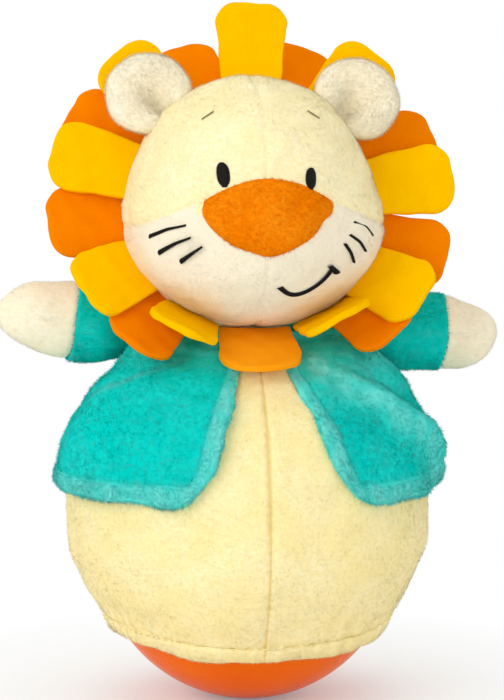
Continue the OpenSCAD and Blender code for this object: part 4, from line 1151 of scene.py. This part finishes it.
def make_ear(side, s):
    """A cupped round ear, pinched towards the head."""
    angle = EAR_ANGLE - EAR_DROOP - (SAG if s > 0 else 0)
    centre = np.array([s * EAR_REACH * cosd(angle), EAR_REACH * sind(angle), EAR_FORE])
    root = np.array([-s * cosd(angle), -sind(angle)])
    rho, ang = np.meshgrid(closing(EAR_ROWS)[1:], turns(EAR_COLS), indexing="ij")
    x, y = EAR_R * rho * cosd(ang), EAR_R * rho * sind(ang)
    toward, aside = x * root[0] + y * root[1], y * root[0] - x * root[1]
    thick = EAR_HALF_T * np.sqrt(limit(1 - rho**EAR_POWER))
    dimple = bell(toward - DIMPLE_IN, *DIMPLE) * bell(aside, DIMPLE_W)
    hollow = bell(np.hypot(x, y), *HOLLOW)
    pinch = limit(toward / EAR_R) ** PINCH_POWER
    aside = aside * (1 - PINCH * pinch)
    bent = PINCH_FOLD * pinch * (np.abs(aside) / EAR_R) - EAR_CUP * (1 - rho**2)

    def place(z):
        x = toward * root[0] - aside * root[1]
        y = toward * root[1] + aside * root[0]
        return mane_place(np.stack([x, y, z + bent], axis=-1) + centre)

    front, back = place(thick - dimple - hollow), place(-EAR_BACK * thick)
    piece = loft(f"ear_{side}_plush", np.concatenate([front, back[-2::-1]]),
                 start=front[0].mean(axis=0), end=back[0].mean(axis=0))
    roughen(piece, wave=10, height=0.2, seed=EAR_SEED + s)
    dress(piece, "head", "cream_plush", "ear_plush", f"ear_{side}")
    return piece


ears = {side: make_ear(side, s) for side, s in SIDE.items()}


# Pile: short tapered fibres standing out of the plush, each a closed spike

# Length and width of a fibre, and how far it leans with the nap
BODY_FIBRE, FACE_FIBRE, EAR_FIBRE = (0.8, 0.14, 1.5), (0.7, 0.13, 1.5), (0.9, 0.13, 0.6)
JACKET_FIBRE, SLEEVE_FIBRE = (1.4, 0.2, 1.6), (1.2, 0.18, 1.6)
NAP_WAVE, NAP_DRIFT, NAP_STRAY, LENGTHS, SUNK = 14, 0.6, 0.45, (0.6, 1.15), 0.15
SHADE_LEAN, SHADE_STRAY = 0.2, 0.05
# Painted light on fleece fibres, stronger at their tips, against the shade that the fibres cast on each
# other: how much, its wave, its seed, its share at the root
FLEECE_TIP_LIGHT, TIP_LIGHT_WAVE, TIP_LIGHT_SEED, TIP_LIGHT_ROOT = 0.22, 4, 9, 0.6
DOWN, UPWARD, OUTWARD_DROP, MUZZLE_BACK_Y = (0, 0, -1), (0, 0, 0.5), -0.3, 2


def pile(name, host, count, fibre, comb, seed, look=None, keep=None, tip_light=0.0):
    """Scatters count fibres over the host's faces; comb is the way that the nap lies."""
    length, width, lean = fibre
    draw = np.random.default_rng(SEED + seed)
    mesh = host.data
    mesh.calc_loop_triangles()
    corner = np.empty(len(mesh.loop_triangles) * 3, np.int32)
    mesh.loop_triangles.foreach_get("vertices", corner)
    corner = corner.reshape(-1, 3)
    tri = points_of(host)[corner]
    area = np.linalg.norm(np.cross(tri[:, 1] - tri[:, 0], tri[:, 2] - tri[:, 0]), axis=1)
    if keep is not None:
        area = area * keep(tri.mean(axis=1))
    if "pile" in mesh.attributes:
        area = area * numbers_of(host, "pile")[corner].mean(axis=1)
    pick = draw.choice(len(tri), count, p=area / area.sum())
    u, v = np.sqrt(draw.random(count)), draw.random(count)
    w = np.stack([1 - u, u * (1 - v), u * v], axis=-1)
    root = np.einsum("ij,ijk->ik", w, tri[pick])
    normal = unit(np.einsum("ij,ijk->ik", w, normals_of(host)[corner[pick]]))
    drift = np.stack([ripple(root, NAP_WAVE, seed + k) for k in (1, 2, 3)], axis=-1)
    nap = np.asarray(comb, float) + NAP_DRIFT * drift
    nap += draw.normal(scale=NAP_STRAY, size=(count, 3))
    nap -= normal * np.einsum("ij,ij->i", nap, normal)[:, None]
    way = unit(normal + lean * nap)
    side = unit(np.cross(way, draw.normal(size=(count, 3))))
    other = np.cross(way, side)
    size = length * draw.uniform(*LENGTHS, count)[:, None]
    foot = root - normal * SUNK
    ring = [foot + width / 2 * (cosd(a) * side + sind(a) * other) for a in turns(3)]
    verts = np.stack([*ring, root + way * size], axis=1).reshape(-1, 3)
    base = np.arange(count)[:, None] * 4
    tris = np.concatenate([base + [0, 1, 3], base + [1, 2, 3], base + [2, 0, 3], base + [0, 2, 1]])
    piece = mesh_piece(name, verts, (), tris)
    # Fibres let light through, so they are shaded with the cloth that they stand on
    soft = unit(normal + SHADE_LEAN * way + draw.normal(scale=SHADE_STRAY, size=(count, 3)))
    piece.data.normals_split_custom_set_from_vertices(np.repeat(soft, 4, axis=0))
    # Fleece fibres are painted lighter towards their tips, as painted light against their own shade, and
    # take on the host's painted sheen
    if tip_light:
        pale = tip_light * (0.5 + ripple(root, TIP_LIGHT_WAVE, seed + TIP_LIGHT_SEED))
        if "rim" in mesh.attributes:
            pale += np.einsum("ij,ij->i", w, numbers_of(host, "rim")[corner[pick]])
        pale = limit(pale)
        mark(piece, "rim", np.stack([pale * TIP_LIGHT_ROOT] * 3 + [pale], axis=1).ravel())
    body, slot, host_look = worn_by[host.name]
    return dress(piece, body, slot, look or host_look)


def on_muzzle(p):
    return (p[:, 2] - HEAD[2] < seam_drop(p[:, 0])) & (p[:, 1] < MUZZLE_BACK_Y)


pile("body_pile", body, 46000, BODY_FIBRE, DOWN, seed=200)
pile("jacket_pile", jacket, 48000, JACKET_FIBRE, DOWN, seed=220, tip_light=FLEECE_TIP_LIGHT)
pile("head_pile", head, 36000, FACE_FIBRE, DOWN, seed=230, look="cream_plush",
     keep=lambda p: 1 - on_muzzle(p))
pile("muzzle_pile", head, 14000, FACE_FIBRE, DOWN, seed=235, look="muzzle_plush", keep=on_muzzle)
pile("nose_pile", nose, 9000, BODY_FIBRE, DOWN, seed=240)
for side, ear in ears.items():
    pile(f"ear_{side}_pile", ear, 12000, EAR_FIBRE, UPWARD, seed=250 + SIDE[side])
for side, (hand, sleeve) in arms.items():
    s = SIDE[side]
    comb = (s, 0, OUTWARD_DROP)
    pile(f"hand_{side}_pile", hand, 9000, FACE_FIBRE, comb, seed=260 + s)
    pile(f"sleeve_{side}_pile", sleeve, 14000, SLEEVE_FIBRE, comb, seed=270 + s, tip_light=FLEECE_TIP_LIGHT)


# Floor, light and camera

FLOOR, FLOOR_GREY, FLOOR_ROUGH, SKY = 3000.0, 0.92, 0.8, 0.68
# Distances from the toy, in metres, between which the floor fades to plain white
FLOOR_FADE = (-0.02, 0.13)
# Each lamp's place, width and power in watts
LAMPS = {
    "key": ((-900, -720, 650), 800, 5.4),
    "fill": ((800, -700, 500), 800, 1),
    "front": ((0, -1000, 120), 500, 1.2),
    "top": ((0, 200, 1100), 900, 2),
}
LAMP_AIM = Vector((0, 0, 100 * MM))


def combine(tree, operation, a, b):
    return add_node(tree, "Math", {0: a, 1: b}, operation=operation).outputs[0]


def seen_directly(tree):
    """1 for rays from the camera, and for those that reflections and clear plastic pass on."""
    path = add_node(tree, "LightPath").outputs
    either = combine(tree, "MAXIMUM", path["Is Camera Ray"], path["Is Glossy Ray"])
    return combine(tree, "MAXIMUM", either, path["Is Transmission Ray"])


# Away from the toy the floor shows plain white, so that it meets the white behind it
tree = new_look("floor")
position = add_node(tree, "NewGeometry").outputs["Position"]
away = add_node(tree, "VectorMath", {0: position}, operation="LENGTH").outputs["Value"]
plain = combine(tree, "MULTIPLY", ramp(tree, away, FLOOR_FADE), seen_directly(tree))
grey = add_node(tree, "BsdfPrincipled", {"Base Color": (FLOOR_GREY,) * 3 + (1,), "Roughness": FLOOR_ROUGH})
white = add_node(tree, "Emission")
mixed = add_node(tree, "MixShader", {"Fac": plain, 1: grey.outputs["BSDF"], 2: white.outputs["Emission"]})
add_node(tree, "OutputMaterial", {"Surface": mixed.outputs["Shader"]})
corners = FLOOR * np.array([[-1, -1, 0], [1, -1, 0], [1, 1, 0], [-1, 1, 0]])
floor = mesh_piece("floor", corners, [[0, 1, 2, 3]])
floor.data.materials.append(LOOKS["floor"])

world = bpy.data.worlds.new("studio")
bpy.context.scene.world = world
world.use_nodes = True
tree = world.node_tree
background = tree.nodes["Background"]
background.inputs["Color"].default_value = (1, 1, 1, 1)
strength = ramp(tree, seen_directly(tree), (0.0, 1.0), to=(SKY, 1.0))
tree.links.new(strength, background.inputs["Strength"])

for name, (place, width, power) in LAMPS.items():
    light = bpy.data.lights.new(name, "AREA")
    light.size = width * MM
    light.energy = power
    lamp = bpy.data.objects.new(name, light)
    bpy.context.scene.collection.objects.link(lamp)
    lamp.location = np.array(place) * MM
    lamp.rotation_euler = (LAMP_AIM - lamp.location).to_track_quat("-Z", "Y").to_euler()

camera = bpy.data.cameras.new("camera")
camera.sensor_fit = "VERTICAL"
camera.sensor_height = SENSOR_H
camera.lens = SENSOR_H * VIEW_DISTANCE / VIEW_HEIGHT
camera.shift_x = VIEW_SHIFT_PX / IMAGE_H
eye = bpy.data.objects.new("camera", camera)
bpy.context.scene.collection.objects.link(eye)
look = Vector((-sind(VIEW_AZIMUTH) * cosd(VIEW_ELEVATION), cosd(VIEW_AZIMUTH) * cosd(VIEW_ELEVATION),
               -sind(VIEW_ELEVATION)))
eye.location = Vector((0, 0, VIEW_TARGET_Z * MM)) - look * VIEW_DISTANCE * MM
eye.rotation_euler = look.to_track_quat("-Z", "Y").to_euler()
bpy.context.scene.camera = eye
bpy.context.scene.view_settings.view_transform = "Standard"
